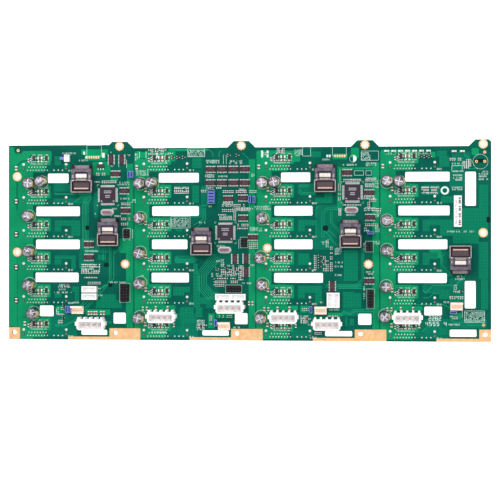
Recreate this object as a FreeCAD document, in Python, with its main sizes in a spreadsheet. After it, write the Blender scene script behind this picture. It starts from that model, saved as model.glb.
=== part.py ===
"""Drive backplane board for a four-rack-unit server: 24 drive bays in four columns and six rows.

The board lies flat. Its cable side, with the data ports, power sockets and capacitors, faces +Z.
Its drive side, with 24 drive sockets, faces -Z, and the board rests on the sockets' guide arms.
X runs along the long edge, Y towards the edge with the four screw tabs. All lengths are millimetres.
Everything is placed from the grid of drive bays: each bay is named by its column and row, and its
own zero is the left one of the two guide holes over its socket.
"""
import FreeCAD
import Part
import Sketcher
import os

COLUMNS = 4
ROWS = 6

# Driving sizes: alias, value in millimetres, meaning
SIZES = [
    # the grid of drive bays and the bare board
    ("bay_pitch_x", 107.95, "from one column of drives to the next, a drive and its carrier"),
    ("bay_pitch_y", 29.3, "from one row of drives to the next"),
    ("left_margin", 13.4, "left board edge to the first column's guide hole"),
    ("right_margin", 86.75, "last column's left guide hole to the right board edge"),
    ("top_margin", 19.55, "first row's guide holes up to the tops of the tabs"),
    ("bottom_margin", 8.75, "last row's guide holes down to the bottom edge"),
    ("board_thickness", 2.4, "eight-layer board"),
    ("tab_half_width", 6.7, "half the straight top of a screw tab"),
    ("tab_rise", 5.6, "tab tops above the main top edge, with shoulders at 45 degrees"),
    ("left_step", 2.7, "tab tops above the top edge left of the first tab"),
    ("tab_offset", 86.25, "tab centre, right of its column's guide hole"),
    ("corner_cut", 2.1, "bevel of the board's top right corner"),
    ("edge_hole_inset", 6.9, "last tab's screw hole, in from the right edge"),
    # holes
    ("screw_hole_radius", 2.0, "clearance hole for an M3.5 screw"),
    ("tab_hole_drop", 4.0, "tab screw holes below the tab tops"),
    ("foot_hole_rise", 6.1, "bottom screw holes above the bottom edge"),
    ("foot_hole_offset", 82.4, "bottom screw hole, right of its column's guide hole"),
    ("corner_hole_inset", 5.0, "bottom corner screw holes, in from the side edges"),
    ("guide_hole_radius", 1.05, "open guide hole, to the corners of its six sides"),
    ("guide_spacing", 38.4, "left to right guide hole of a bay"),
    ("socket_drop", 4.0, "socket centre line below the guide holes"),
    # air slots
    ("slot_width", 8.5, "air slot between two rows of drives"),
    ("slot_drop", 12.35, "air slot's centre line below its row's guide holes"),
    ("slot_corner", 0.8, "corner relief of every slot"),
    # drive sockets, on the drive side
    ("socket_length", 42.6, "over both guide arms"),
    ("socket_depth", 5.6, "across the socket"),
    ("socket_height", 8.4, "board to the faces of the guide arms"),
    ("arm_width", 3.9, "guide arm at each end of the socket"),
    ("arm_lead_in", 0.8, "bevel of the guide arms' tips"),
    ("face_recess", 1.9, "contact block's face behind the arms' faces"),
    ("card_slot_length", 33.4, "slot that takes the drive's contact blade"),
    ("card_slot_width", 2.4, "across that slot"),
    ("card_slot_depth", 4.8, "depth of that slot"),
    ("key_length", 1.8, "L-shaped foot at the power end of the slot"),
    ("key_reach", 1.2, "how far that foot turns out of the slot"),
    # electrolytic capacitors
    ("can_radius", 5.0, "capacitor can"),
    ("can_height", 12.5, "board to the can's top"),
    # right-angle data ports, measured from the joggle between the rear cover and the hood
    ("port_cover_width", 17.4, "metal cover over the rear of a port"),
    ("port_cover_length", 9.9, "cover, from the joggle to the contact comb"),
    ("port_rear_length", 13.4, "housing, from the joggle to its rear face"),
    ("port_hood_width", 18.6, "over the metal frame of the hood"),
    ("port_hood_length", 10.9, "joggle to the front of that frame"),
    ("port_height", 9.0, "board to the top of the cover"),
    ("sheet", 0.4, "thickness of the cover"),
    ("frame_sheet", 0.6, "thickness of the hood's frame and of the joggle"),
    ("housing_gap", 0.1, "housing clear of the sheet around it"),
    ("lip_height", 1.1, "frame's lip over the mouth"),
    ("mouth_width", 15.4, "mouth that takes the cable's plug"),
    ("mouth_height", 5.4, "height of the mouth"),
    ("mouth_floor", 2.0, "board to the floor of the mouth"),
    ("mouth_depth", 9.4, "depth of the mouth"),
    ("comb_step", 4.6, "height of the step that the rear contacts come down"),
    ("comb_cheek", 1.3, "cheek at each side of that step"),
    ("latch_window_width", 11.6, "window in the cover around the latch spring"),
    ("latch_window_length", 6.5, "length of that window"),
    ("latch_gap", 1.0, "gap around the latch spring"),
    ("hood_panel_width", 14.0, "sunk panel on top of the hood"),
    ("hood_panel_length", 6.4, "length of that panel"),
    ("hood_panel_depth", 0.8, "depth of that panel"),
    ("hood_bar", 1.9, "bar left between the panel and the mouth's face"),
    # four-pin power sockets
    ("power_width", 23.5, "body without its end lugs"),
    ("power_depth", 9.45, "body without its ribs"),
    ("power_height", 11.0, "board to the rim"),
    ("power_key", 1.5, "bevels of the keyed long side"),
    ("power_rib_width", 1.6, "ribs of the other long side"),
    ("power_rib_reach", 1.8, "how far the ribs stand out"),
    ("power_lug_width", 3.4, "end lug, along the end"),
    ("power_lug_reach", 1.45, "how far the lugs stand out"),
    ("power_mouth_width", 20.6, "mouth of the socket"),
    ("power_mouth_depth", 6.2, "mouth, across the socket"),
    ("power_mouth_shift", 0.4, "mouth towards the keyed side"),
    ("power_floor", 1.8, "floor under the mouth"),
    ("power_pin_pitch", 5.08, "pin to pin, and rib to rib"),
    ("power_pin_radius", 1.05, "power pin, to the corners of its six sides"),
    ("power_pin_height", 6.0, "pin above the floor of the mouth"),
    # controller chips and their crystals
    ("chip_width", 14.0, "square body of a controller chip"),
    ("chip_corner", 0.7, "bevelled corners of that body"),
    ("chip_height", 1.5, "board to the top of the body"),
    ("lead_reach", 1.8, "row of leads beyond the body"),
    ("lead_height", 0.4, "thickness of a row of leads on the board"),
    ("lead_row", 12.2, "length of a row of leads"),
    ("crystal_length", 11.0, "crystal can"),
    ("crystal_width", 4.7, "across the crystal can"),
    ("crystal_corner", 1.5, "rounding of its ends, drawn as a bevel"),
    ("crystal_height", 3.5, "height of the crystal can"),
    # small connectors
    ("pin_pitch", 2.54, "pin to pin on the black headers and the jumpers"),
    ("header_height", 2.6, "black header's body"),
    ("jumper_length", 6.0, "jumper cap, along its two pins"),
    ("jumper_width", 2.4, "jumper cap, across its pins"),
    ("jumper_height", 6.0, "board to the top of a jumper cap"),
    ("sideband_length", 13.0, "white cable header beside the controllers"),
    ("sideband_width", 5.4, "across that header"),
    ("sideband_height", 6.5, "height of that header"),
    ("sideband_wall", 0.9, "wall around the header's pins"),
    ("sideband_floor", 1.8, "floor under those pins"),
    ("fan_length", 10.4, "cream fan header"),
    ("fan_width", 6.8, "across the fan header"),
    ("fan_base", 3.2, "height of the fan header's base"),
    ("fan_back", 1.5, "thickness of its locking wall"),
    ("fan_height", 8.5, "height of its locking wall"),
    # logic chips and the label
    ("logic_length", 8.7, "body of a logic chip"),
    ("logic_width", 4.1, "across that body"),
    ("logic_height", 1.6, "height of a logic chip"),
    ("label_width", 6.7, "paper label"),
    ("label_length", 27.1, "length of the label"),
    ("label_thickness", 0.12, "thickness of the label"),
]

# Air slots between the rows: for each column, (row above, left end, right end) from the guide hole
AIR_SLOTS = [
    [(0, 21.3, 40.6), (1, 10.9, 50.7), (2, 10.6, 50.6), (3, 10.2, 49.6)],
    [(0, 12.9, 48.8), (1, 7.0, 48.8), (2, 6.8, 38.7), (3, 6.5, 40.0)],
    [(0, 13.0, 38.7), (1, 7.2, 40.7), (2, 7.2, 40.7), (3, 7.0, 49.8)],
    [(0, 13.0, 51.3), (1, 7.1, 51.3), (2, 7.1, 49.4), (3, 7.0, 48.9)],
]
# Other cut-outs: for each column, (row, across, up, width, height), measured to their centres
CUT_OUTS = [
    [(4, 20.6, -12.8, 13.0, 9.7), (5, 63.4, -2.3, 23.6, 4.7), (5, 86.1, 10.35, 11.4, 9.8)],
    [(5, 63.4, -2.3, 23.6, 4.7), (5, 86.1, 10.35, 11.4, 9.8)],
    [(5, 63.4, -2.3, 23.6, 4.7), (5, 86.1, 10.35, 11.4, 9.8)],
    [(4, 37.1, -11.55, 15.3, 7.8), (5, 62.8, -1.3, 23.1, 6.3),
     (1, 69.15, 6.35, 9.4, 29.6), (4, 68.9, 2.65, 9.5, 23.8)],
]
# Screw holes inside the board: (column, row, across, up) from the bay's guide hole
INNER_SCREW_HOLES = [
    (0, 0, -5.8, -10.85), (0, 2, -5.8, -19.25), (0, 3, 91.3, -0.45),
    (2, 2, 1.2, -15.65), (2, 3, 89.2, -0.45), (3, 2, 79.85, -2.35),
]
# Capacitors of each column: (row, across, up)
CAPACITORS = [
    [(0, 5.5, -17.2), (0, 16.2, -15.5), (1, 4.7, -16.8), (2, 5.1, -18.7), (3, 5.1, -18.6),
     (4, 8.7, -15.0)],
    [(0, -3.4, -17.3), (0, 7.0, -17.4), (1, -3.4, -18.3), (2, -3.6, -19.8), (3, -3.4, -17.5),
     (4, -4.1, -18.6)],
    [(0, -3.4, -16.8), (0, 7.0, -16.6), (1, -3.4, -19.1), (2, -4.9, -24.1), (3, -3.4, -18.5),
     (4, -4.7, -17.8)],
    [(0, -3.3, -16.6), (0, 7.3, -16.6), (1, -3.3, -21.0), (2, -3.3, -17.4), (3, -3.8, -19.9),
     (4, -4.9, -16.2)],
]
# Data ports: (column, row, across, up, turn in degrees); unturned, the mouth faces -Y
DATA_PORTS = [
    (0, 0, 53.75, -14.55, 0), (0, 2, 77.2, -2.9, 0), (1, 2, 51.85, -11.0, 0),
    (2, 0, 51.8, -14.85, 0), (2, 2, 73.8, -4.55, 0), (3, 2, 59.95, -24.45, 180),
]
# The rest: (column, row, across, up), with a quarter turn or a count of pins where there is one
POWER_SOCKETS = [
    (0, 5, 61.8, 5.85), (1, 5, 16.25, 12.45), (1, 4, 76.65, -8.4),
    (2, 5, 15.6, 12.35), (2, 5, 53.3, 6.55), (3, 5, 14.65, 12.55),
]
CONTROLLER_CHIPS = [(0, 1, 75.8, 1.75), (1, 2, 72.25, -2.25), (2, 1, 75.4, 3.45)]
CRYSTALS = [(0, 1, 75.3, -13.45), (1, 2, 71.55, -17.35), (2, 1, 74.5, -11.75)]
PIN_HEADERS = [
    (0, 4, 91.0, 3.45, 3, 6), (1, 4, 79.55, 7.25, 5, 2), (2, 4, 91.1, -1.05, 2, 6),
    (0, 2, 92.6, -2.95, 2, 3), (1, 2, 88.65, -10.75, 2, 3), (2, 2, 90.1, -14.35, 2, 3),
]
SIDEBAND_HEADERS = [
    (0, 4, 60.0, 6.55, False), (0, 4, 60.0, 0.15, False), (1, 4, 70.45, 0.15, False),
    (1, 4, 83.85, 0.15, False), (2, 4, 56.0, -2.35, True), (2, 4, 61.6, -2.35, True),
]
FAN_HEADERS = [(0, 4, 49.0, -11.75), (1, 5, 71.25, 3.95), (2, 4, 47.8, -11.35), (3, 4, 56.95, -7.35)]
JUMPERS = [
    (0, 4, 41.0, -11.25, False, 2), (0, 0, 96.8, -9.55, False, 2), (1, 1, 60.25, 0.05, True, 5),
    (1, 5, 64.05, 6.75, False, 1), (2, 1, -14.0, -2.55, False, 1), (2, 1, -10.1, -2.65, False, 1),
    (2, 2, 91.1, -2.55, True, 1), (2, 4, 39.5, -10.65, False, 1), (3, 4, 54.15, -12.55, True, 1),
]
LOGIC_CHIPS = [
    (0, 0, 78.9, 3.85, True), (0, 0, 88.3, 3.85, True), (0, 0, 82.8, -8.85, False),
    (0, 1, 90.6, 5.55, False), (0, 1, 91.7, -11.95, False), (0, 2, 58.9, -12.35, False),
    (0, 3, 58.9, 5.35, False), (1, 0, 59.25, -5.25, False), (1, 0, 69.15, -5.25, False),
    (1, 0, 79.35, -5.25, False), (1, 0, 89.35, -5.25, False), (1, 0, 59.25, -17.05, False),
    (1, 0, 69.15, -17.05, False), (1, 0, 79.35, -17.05, False), (1, 0, 89.35, -17.05, False),
    (1, 1, 74.75, -1.85, False), (1, 1, 87.7, -1.15, False), (1, 2, 87.95, 10.55, False),
    (1, 3, 80.65, 4.05, True), (1, 3, 90.65, 4.25, True), (1, 3, 90.65, -7.35, True),
    (2, 0, 70.9, -8.65, False), (2, 1, 90.0, 3.05, False), (2, 2, 90.7, 11.05, False),
    (1, 2, 96.45, -6.25, False), (2, 4, 58.0, 9.85, True), (2, 3, 90.0, -14.95, False),
]
LABEL = (3, 1, 58.15, -13.05)

DOC = FreeCAD.newDocument("drive_backplane")
NODES = {}


# ---------------------------------------------------------------- the sheet and its expressions
def fill_sheet():
    """Write every driving size into the spreadsheet, with its alias."""
    sheet = DOC.addObject("Spreadsheet::Sheet", "Sizes")
    for row, (alias, value, meaning) in enumerate(SIZES, start=1):
        sheet.set(f"A{row}", alias)
        sheet.set(f"B{row}", str(value))
        sheet.set(f"C{row}", meaning)
        sheet.setAlias(f"B{row}", alias)
    DOC.recompute()
    return sheet


SHEET = fill_sheet()


def cell(alias):
    """Expression for one named size."""
    return f"Sizes.{alias}"


def half(expression):
    return f"({expression}) / 2"


def minus(expression):
    return f"-({expression})"


def total(*terms):
    """Expression for a sum."""
    return " + ".join(f"({term})" for term in terms)


BOARD_LENGTH = total(cell("left_margin"), f"{COLUMNS - 1} * Sizes.bay_pitch_x", cell("right_margin"))
BOARD_WIDTH = total(cell("top_margin"), f"{ROWS - 1} * Sizes.bay_pitch_y", cell("bottom_margin"))
RIGHT = half(BOARD_LENGTH)
LEFT = minus(RIGHT)
TOP = half(BOARD_WIDTH)
BOTTOM = minus(TOP)
DRIVE_SIDE = cell("socket_height")
CABLE_SIDE = total(cell("socket_height"), cell("board_thickness"))


def bay_x(column, across=0.0):
    """X of a point that lies some way right of a column's left guide holes."""
    return total(LEFT, cell("left_margin"), f"{column} * Sizes.bay_pitch_x", across)


def bay_y(row, up=0.0):
    """Y of a point that lies some way above a row's guide holes."""
    return total(TOP, minus(cell("top_margin")), f"-{row} * Sizes.bay_pitch_y", up)


# ---------------------------------------------------------------- sketches and features
def set_place(item, x, y, z, turn=0):
    """Bind an object's placement to three expressions and turn it about Z."""
    item.Placement = FreeCAD.Placement(FreeCAD.Vector(), FreeCAD.Rotation(FreeCAD.Vector(0, 0, 1), turn))
    item.setExpression("Placement.Base.x", x)
    item.setExpression("Placement.Base.y", y)
    item.setExpression("Placement.Base.z", z)


def new_body(name):
    return DOC.addObject("PartDesign::Body", name)


def new_sketch(body, name, plane="XY_Plane", offset=None):
    """Sketch on one of the body's own planes, moved along its normal by an expression."""
    sketch = body.newObject("Sketcher::SketchObject", f"{body.Name}_{name}")
    origin_plane = [item for item in body.Origin.OriginFeatures if item.Role == plane][0]
    sketch.AttachmentSupport = [(origin_plane, "")]
    sketch.MapMode = "FlatFace"
    if offset is not None:
        sketch.setExpression("AttachmentOffset.Base.z", offset)
    return sketch


def add_outline(sketch, corners):
    """Closed outline of straight lines; every corner is held by an X and a Y expression."""
    places = [(sketch.evalExpression(x), sketch.evalExpression(y)) for x, y in corners]
    first = sketch.GeometryCount
    count = len(corners)
    for index, (x, y) in enumerate(places):
        next_x, next_y = places[(index + 1) % count]
        sketch.addGeometry(Part.LineSegment(FreeCAD.Vector(x, y, 0), FreeCAD.Vector(next_x, next_y, 0)))
    for index, (x_rule, y_rule) in enumerate(corners):
        edge = first + index
        following = first + (index + 1) % count
        sketch.addConstraint(Sketcher.Constraint("Coincident", edge, 2, following, 1))
        for kind, rule, value in (("DistanceX", x_rule, places[index][0]),
                                  ("DistanceY", y_rule, places[index][1])):
            datum = sketch.addConstraint(Sketcher.Constraint(kind, -1, 1, edge, 1, value))
            sketch.setExpression(f"Constraints[{datum}]", rule)


def add_rectangle(sketch, left, right, low, high):
    add_outline(sketch, [(left, low), (right, low), (right, high), (left, high)])


def add_relieved_rectangle(sketch, left, right, low, high, relief):
    """Rectangle with its four corners cut across."""
    add_outline(sketch, [
        (total(left, relief), low), (total(right, minus(relief)), low),
        (right, total(low, relief)), (right, total(high, minus(relief))),
        (total(right, minus(relief)), high), (total(left, relief), high),
        (left, total(high, minus(relief))), (left, total(low, relief)),
    ])


def add_hexagon(sketch, x, y, radius):
    """Small drilled hole drawn with six sides, because 48 round ones would be most of the facets."""
    add_outline(sketch, [
        (total(x, f"cos({60 * side}) * {radius}"), total(y, f"sin({60 * side}) * {radius}"))
        for side in range(6)
    ])


def add_circle(sketch, x, y, radius):
    centre = FreeCAD.Vector(sketch.evalExpression(x), sketch.evalExpression(y), 0)
    size = sketch.evalExpression(radius)
    ring = sketch.addGeometry(Part.Circle(centre, FreeCAD.Vector(0, 0, 1), size))
    for kind, rule, value in (("DistanceX", x, centre.x), ("DistanceY", y, centre.y)):
        datum = sketch.addConstraint(Sketcher.Constraint(kind, -1, 1, ring, 3, value))
        sketch.setExpression(f"Constraints[{datum}]", rule)
    datum = sketch.addConstraint(Sketcher.Constraint("Radius", ring, size))
    sketch.setExpression(f"Constraints[{datum}]", radius)


def pad(body, sketch, length, midplane=False, reverse=False):
    feature = body.newObject("PartDesign::Pad", f"{sketch.Name}_pad")
    feature.Profile = sketch
    feature.setExpression("Length", length)
    feature.Midplane = midplane
    feature.Reversed = reverse
    return feature


def pocket(body, sketch, length=None, reverse=False):
    """Pocket of a given depth, or through everything on both sides where no depth is given."""
    feature = body.newObject("PartDesign::Pocket", f"{sketch.Name}_pocket")
    feature.Profile = sketch
    feature.Reversed = reverse
    if length is None:
        feature.Type = "ThroughAll"
        feature.Midplane = True
    else:
        feature.setExpression("Length", length)
    return feature


def keep(item, label):
    """Give a finished sub-part its label and put it on the list of nodes."""
    item.Label = label
    NODES[label] = item
    return item


def group(label, members):
    """Several separate solids of one kind as one node."""
    compound = DOC.addObject("Part::Compound", label)
    compound.Links = members
    return keep(compound, label)


def block(name, across, deep, tall, x, y, quarter_turn=False, z=CABLE_SIDE):
    """Plain block centred on x and y; a quarter turn swaps its two plan sizes."""
    if quarter_turn:
        across, deep = deep, across
    item = DOC.addObject("Part::Box", name)
    item.setExpression("Length", across)
    item.setExpression("Width", deep)
    item.setExpression("Height", tall)
    set_place(item, total(x, minus(half(across))), total(y, minus(half(deep))), z)
    return item


def prism(name, sides, radius, height):
    """Upright round piece drawn with a few flat sides."""
    item = DOC.addObject("Part::Prism", name)
    item.Polygon = sides
    item.setExpression("Circumradius", radius)
    item.setExpression("Height", height)
    return item


# ---------------------------------------------------------------- the bare board
def board_outline():
    """Corners of the board, anticlockwise: straight sides and bottom, four screw tabs on top."""
    main_top = total(TOP, minus(cell("tab_rise")))
    left_top = total(TOP, minus(cell("left_step")))
    last_tab_x = total(RIGHT, minus(cell("edge_hole_inset")))
    corners = [
        (LEFT, BOTTOM), (RIGHT, BOTTOM),
        (RIGHT, total(TOP, minus(cell("corner_cut")))),
        (total(RIGHT, minus(cell("corner_cut"))), TOP),
        (total(last_tab_x, minus(cell("tab_half_width"))), TOP),
        (total(last_tab_x, minus(cell("tab_half_width")), minus(cell("tab_rise"))), main_top),
    ]
    for column in reversed(range(COLUMNS - 1)):
        tab_x = bay_x(column, cell("tab_offset"))
        corners += [
            (total(tab_x, cell("tab_half_width"), cell("tab_rise")), main_top),
            (total(tab_x, cell("tab_half_width")), TOP),
            (total(tab_x, minus(cell("tab_half_width"))), TOP),
        ]
        if column > 0:
            corners.append((total(tab_x, minus(cell("tab_half_width")), minus(cell("tab_rise"))), main_top))
        else:
            corners.append((total(tab_x, minus(cell("tab_half_width")), minus(cell("left_step"))), left_top))
    corners.append((LEFT, left_top))
    return corners


def screw_holes():
    """Centres of the fifteen screw holes: four tabs, five along the bottom, six inside."""
    tab_y = total(TOP, minus(cell("tab_hole_drop")))
    foot_y = total(BOTTOM, cell("foot_hole_rise"))
    centres = [(total(RIGHT, minus(cell("edge_hole_inset"))), tab_y)]
    centres.append((total(LEFT, cell("corner_hole_inset")), foot_y))
    centres.append((total(RIGHT, minus(cell("corner_hole_inset"))), foot_y))
    for column in range(COLUMNS - 1):
        centres.append((bay_x(column, cell("tab_offset")), tab_y))
        centres.append((bay_x(column, cell("foot_hole_offset")), foot_y))
    for column, row, across, up in INNER_SCREW_HOLES:
        centres.append((bay_x(column, across), bay_y(row, up)))
    return centres


def circuit_board():
    """Fibreglass board: outline, air slots and cut-outs, screw holes, and each bay's guide holes."""
    body = new_body("circuit_board")
    outline = new_sketch(body, "outline")
    add_outline(outline, board_outline())
    pad(body, outline, cell("board_thickness"))

    for column in range(COLUMNS):
        slots = new_sketch(body, f"slots_{column + 1}")
        for row, left_end, right_end in AIR_SLOTS[column]:
            middle = bay_y(row, minus(cell("slot_drop")))
            add_relieved_rectangle(slots, bay_x(column, left_end), bay_x(column, right_end),
                                   total(middle, minus(half(cell("slot_width")))),
                                   total(middle, half(cell("slot_width"))), cell("slot_corner"))
        for row, across, up, width, height in CUT_OUTS[column]:
            add_relieved_rectangle(slots, bay_x(column, across - width / 2), bay_x(column, across + width / 2),
                                   bay_y(row, up - height / 2), bay_y(row, up + height / 2),
                                   cell("slot_corner"))
        pocket(body, slots)

    screws = new_sketch(body, "screw_holes")
    for x, y in screw_holes():
        add_circle(screws, x, y, cell("screw_hole_radius"))
    pocket(body, screws)

    guides = new_sketch(body, "guide_holes")
    for across in ("0", cell("guide_spacing")):
        add_hexagon(guides, bay_x(0, across), bay_y(0), cell("guide_hole_radius"))
    first_bay = pocket(body, guides)
    DOC.recompute()

    all_bays = body.newObject("PartDesign::LinearPattern", "all_bays")
    all_bays.Originals = [first_bay]
    all_bays.Direction = (guides, ["H_Axis"])
    all_bays.Occurrences = COLUMNS
    all_bays.setExpression("Length", f"{COLUMNS - 1} * Sizes.bay_pitch_x")
    all_bays.Direction2 = (guides, ["V_Axis"])
    all_bays.Reversed2 = True
    all_bays.Occurrences2 = ROWS
    all_bays.setExpression("Length2", f"{ROWS - 1} * Sizes.bay_pitch_y")
    body.Tip = all_bays
    set_place(body, "0", "0", DRIVE_SIDE)
    return keep(body, "circuit_board")


# ---------------------------------------------------------------- drive sockets
def drive_socket(number, column, row):
    """Drive socket under the board: a guide arm at each end and a keyed slot for the drive's blade.

    Its own zero is at the middle of the guide arms' faces, with the board on its +Z side.
    """
    body = new_body(f"drive_socket_{number:02d}")
    end = half(cell("socket_length"))
    arm = total(end, minus(cell("arm_width")))
    bevel = cell("arm_lead_in")
    recess = cell("face_recess")
    front = [
        (end, DRIVE_SIDE), (minus(end), DRIVE_SIDE),
        (minus(end), bevel), (minus(total(end, minus(bevel))), "0"),
        (minus(total(arm, bevel)), "0"), (minus(arm), bevel), (minus(arm), recess),
        (arm, recess), (arm, bevel), (total(arm, bevel), "0"),
        (total(end, minus(bevel)), "0"), (end, bevel),
    ]
    profile = new_sketch(body, "profile", "XZ_Plane")
    add_outline(profile, front)
    pad(body, profile, cell("socket_depth"), midplane=True)

    slot_end = half(cell("card_slot_length"))
    slot_side = half(cell("card_slot_width"))
    card_slot = new_sketch(body, "card_slot", offset=recess)
    add_outline(card_slot, [
        (minus(slot_end), minus(slot_side)), (total(slot_end, minus(cell("key_length"))), minus(slot_side)),
        (total(slot_end, minus(cell("key_length"))), minus(total(slot_side, cell("key_reach")))),
        (slot_end, minus(total(slot_side, cell("key_reach")))),
        (slot_end, slot_side), (minus(slot_end), slot_side),
    ])
    pocket(body, card_slot, cell("card_slot_depth"), reverse=True)

    set_place(body, bay_x(column, half(cell("guide_spacing"))), bay_y(row, minus(cell("socket_drop"))), "0")
    return keep(body, f"drive_socket_{number:02d}")


# ---------------------------------------------------------------- capacitors
def capacitor_columns():
    """Round aluminium cans, drawn with sixteen sides, grouped by the column they stand in."""
    for column, places in enumerate(CAPACITORS):
        cans = []
        for index, (row, across, up) in enumerate(places):
            can = prism(f"can_{column + 1}_{index + 1}", 16, cell("can_radius"), cell("can_height"))
            set_place(can, bay_x(column, across), bay_y(row, up), CABLE_SIDE)
            cans.append(can)
        group(f"capacitors_column_{column + 1}", cans)


# ---------------------------------------------------------------- data ports
# Both parts of a port share one zero: on the board, in the middle of the joggle. The mouth faces -Y.
HOOD_SIDE = total(half(cell("port_hood_width")), minus(cell("frame_sheet")), minus(cell("housing_gap")))
COVER_INSIDE = total(half(cell("port_cover_width")), minus(cell("sheet")))
REAR_SIDE = total(COVER_INSIDE, minus(cell("housing_gap")))
FRAME_FRONT = minus(cell("port_hood_length"))
HOUSING_FRONT = total(FRAME_FRONT, cell("frame_sheet"), cell("housing_gap"))
HOUSING_TOP = total(cell("port_height"), minus(cell("sheet")), minus(cell("housing_gap")))


def data_port(number, column, row, across, up, turn):
    """Black housing: hood with the mouth for the plug, and a stepped rear for the contact comb."""
    body = new_body(f"data_port_{number}")
    plan = new_sketch(body, "plan")
    hood_end = minus(cell("housing_gap"))
    add_outline(plan, [
        (minus(HOOD_SIDE), HOUSING_FRONT), (HOOD_SIDE, HOUSING_FRONT), (HOOD_SIDE, hood_end),
        (REAR_SIDE, hood_end), (REAR_SIDE, cell("port_rear_length")),
        (minus(REAR_SIDE), cell("port_rear_length")), (minus(REAR_SIDE), hood_end),
        (minus(HOOD_SIDE), hood_end),
    ])
    pad(body, plan, HOUSING_TOP)

    mouth = new_sketch(body, "mouth", "XZ_Plane", offset=minus(HOUSING_FRONT))
    add_rectangle(mouth, minus(half(cell("mouth_width"))), half(cell("mouth_width")),
                  cell("mouth_floor"), total(cell("mouth_floor"), cell("mouth_height")))
    pocket(body, mouth, cell("mouth_depth"))

    comb = new_sketch(body, "comb", offset=HOUSING_TOP)
    comb_side = total(REAR_SIDE, minus(cell("comb_cheek")))
    add_rectangle(comb, minus(comb_side), comb_side, total(cell("port_cover_length"), cell("housing_gap")),
                  total(cell("port_rear_length"), cell("housing_gap")))
    pocket(body, comb, cell("comb_step"))

    panel = new_sketch(body, "panel", offset=HOUSING_TOP)
    panel_front = total(HOUSING_FRONT, cell("hood_bar"))
    add_rectangle(panel, minus(half(cell("hood_panel_width"))), half(cell("hood_panel_width")),
                  panel_front, total(panel_front, cell("hood_panel_length")))
    pocket(body, panel, cell("hood_panel_depth"))
    set_place(body, bay_x(column, across), bay_y(row, up), CABLE_SIDE, turn)
    return keep(body, f"data_port_{number}")


def data_port_shell(number, column, row, across, up, turn):
    """Sheet-metal cover over the rear, with its latch spring, and the frame around the hood."""
    body = new_body(f"data_port_shell_{number}")
    cover_side = half(cell("port_cover_width"))
    top = cell("port_height")
    cover = new_sketch(body, "cover", "XZ_Plane")
    add_outline(cover, [
        (minus(cover_side), "0"), (minus(COVER_INSIDE), "0"),
        (minus(COVER_INSIDE), total(top, minus(cell("sheet")))),
        (COVER_INSIDE, total(top, minus(cell("sheet")))), (COVER_INSIDE, "0"),
        (cover_side, "0"), (cover_side, top), (minus(cover_side), top),
    ])
    pad(body, cover, cell("port_cover_length"), reverse=True)

    frame_side = half(cell("port_hood_width"))
    frame_inside = total(frame_side, minus(cell("frame_sheet")))
    sides = new_sketch(body, "frame_sides")
    for sign in ("-1", "1"):
        add_outline(sides, [(f"{sign} * ({x})", y) for x, y in (
            (frame_side, FRAME_FRONT), (frame_inside, FRAME_FRONT), (frame_inside, "0"),
            (COVER_INSIDE, "0"), (COVER_INSIDE, cell("frame_sheet")), (frame_side, cell("frame_sheet")),
        )])
    pad(body, sides, top)

    lip = new_sketch(body, "lip", offset=total(top, minus(cell("lip_height"))))
    add_rectangle(lip, minus(frame_side), frame_side, FRAME_FRONT, total(FRAME_FRONT, cell("frame_sheet")))
    pad(body, lip, cell("lip_height"))

    latch = new_sketch(body, "latch", offset=top)
    window = half(cell("latch_window_width"))
    spring = total(window, minus(cell("latch_gap")))
    window_front = cell("frame_sheet")
    window_rear = total(window_front, cell("latch_window_length"))
    spring_rear = total(window_rear, minus(cell("latch_gap")))
    add_outline(latch, [
        (minus(window), window_front), (minus(spring), window_front), (minus(spring), spring_rear),
        (spring, spring_rear), (spring, window_front), (window, window_front),
        (window, window_rear), (minus(window), window_rear),
    ])
    pocket(body, latch, cell("sheet"))
    set_place(body, bay_x(column, across), bay_y(row, up), CABLE_SIDE, turn)
    return keep(body, f"data_port_shell_{number}")


# ---------------------------------------------------------------- power sockets
def power_outline():
    """Plan of a power socket: keyed long side, an upright lug at each end, ribs on the other side."""
    side = half(cell("power_width"))
    keyed = minus(total(half(cell("power_depth")), half(cell("power_rib_reach"))))
    wall = total(half(cell("power_depth")), minus(half(cell("power_rib_reach"))))
    rib_top = total(wall, cell("power_rib_reach"))
    lug = total(side, cell("power_lug_reach"))
    lug_half = half(cell("power_lug_width"))
    key = cell("power_key")
    corners = [
        (total(minus(side), key), keyed), (total(side, minus(key)), keyed), (side, total(keyed, key)),
        (side, minus(lug_half)), (lug, minus(lug_half)), (lug, lug_half), (side, lug_half), (side, wall),
    ]
    for place in (2, 1, 0, -1, -2):
        middle = f"{place} * Sizes.power_pin_pitch"
        rib = half(cell("power_rib_width"))
        corners += [(total(middle, rib), wall), (total(middle, rib), rib_top),
                    (total(middle, minus(rib)), rib_top), (total(middle, minus(rib)), wall)]
    corners += [
        (minus(side), wall), (minus(side), lug_half), (minus(lug), lug_half),
        (minus(lug), minus(lug_half)), (minus(side), minus(lug_half)), (minus(side), total(keyed, key)),
    ]
    return corners


def power_socket(number, column, row, across, up):
    """White power socket with its mouth upwards."""
    body = new_body(f"power_socket_{number}")
    plan = new_sketch(body, "plan")
    add_outline(plan, power_outline())
    pad(body, plan, cell("power_height"))
    mouth = new_sketch(body, "mouth", offset=cell("power_height"))
    middle = minus(total(half(cell("power_rib_reach")), cell("power_mouth_shift")))
    add_rectangle(mouth, minus(half(cell("power_mouth_width"))), half(cell("power_mouth_width")),
                  total(middle, minus(half(cell("power_mouth_depth")))),
                  total(middle, half(cell("power_mouth_depth"))))
    pocket(body, mouth, total(cell("power_height"), minus(cell("power_floor"))))
    set_place(body, bay_x(column, across), bay_y(row, up), CABLE_SIDE)
    return keep(body, f"power_socket_{number}")


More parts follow.
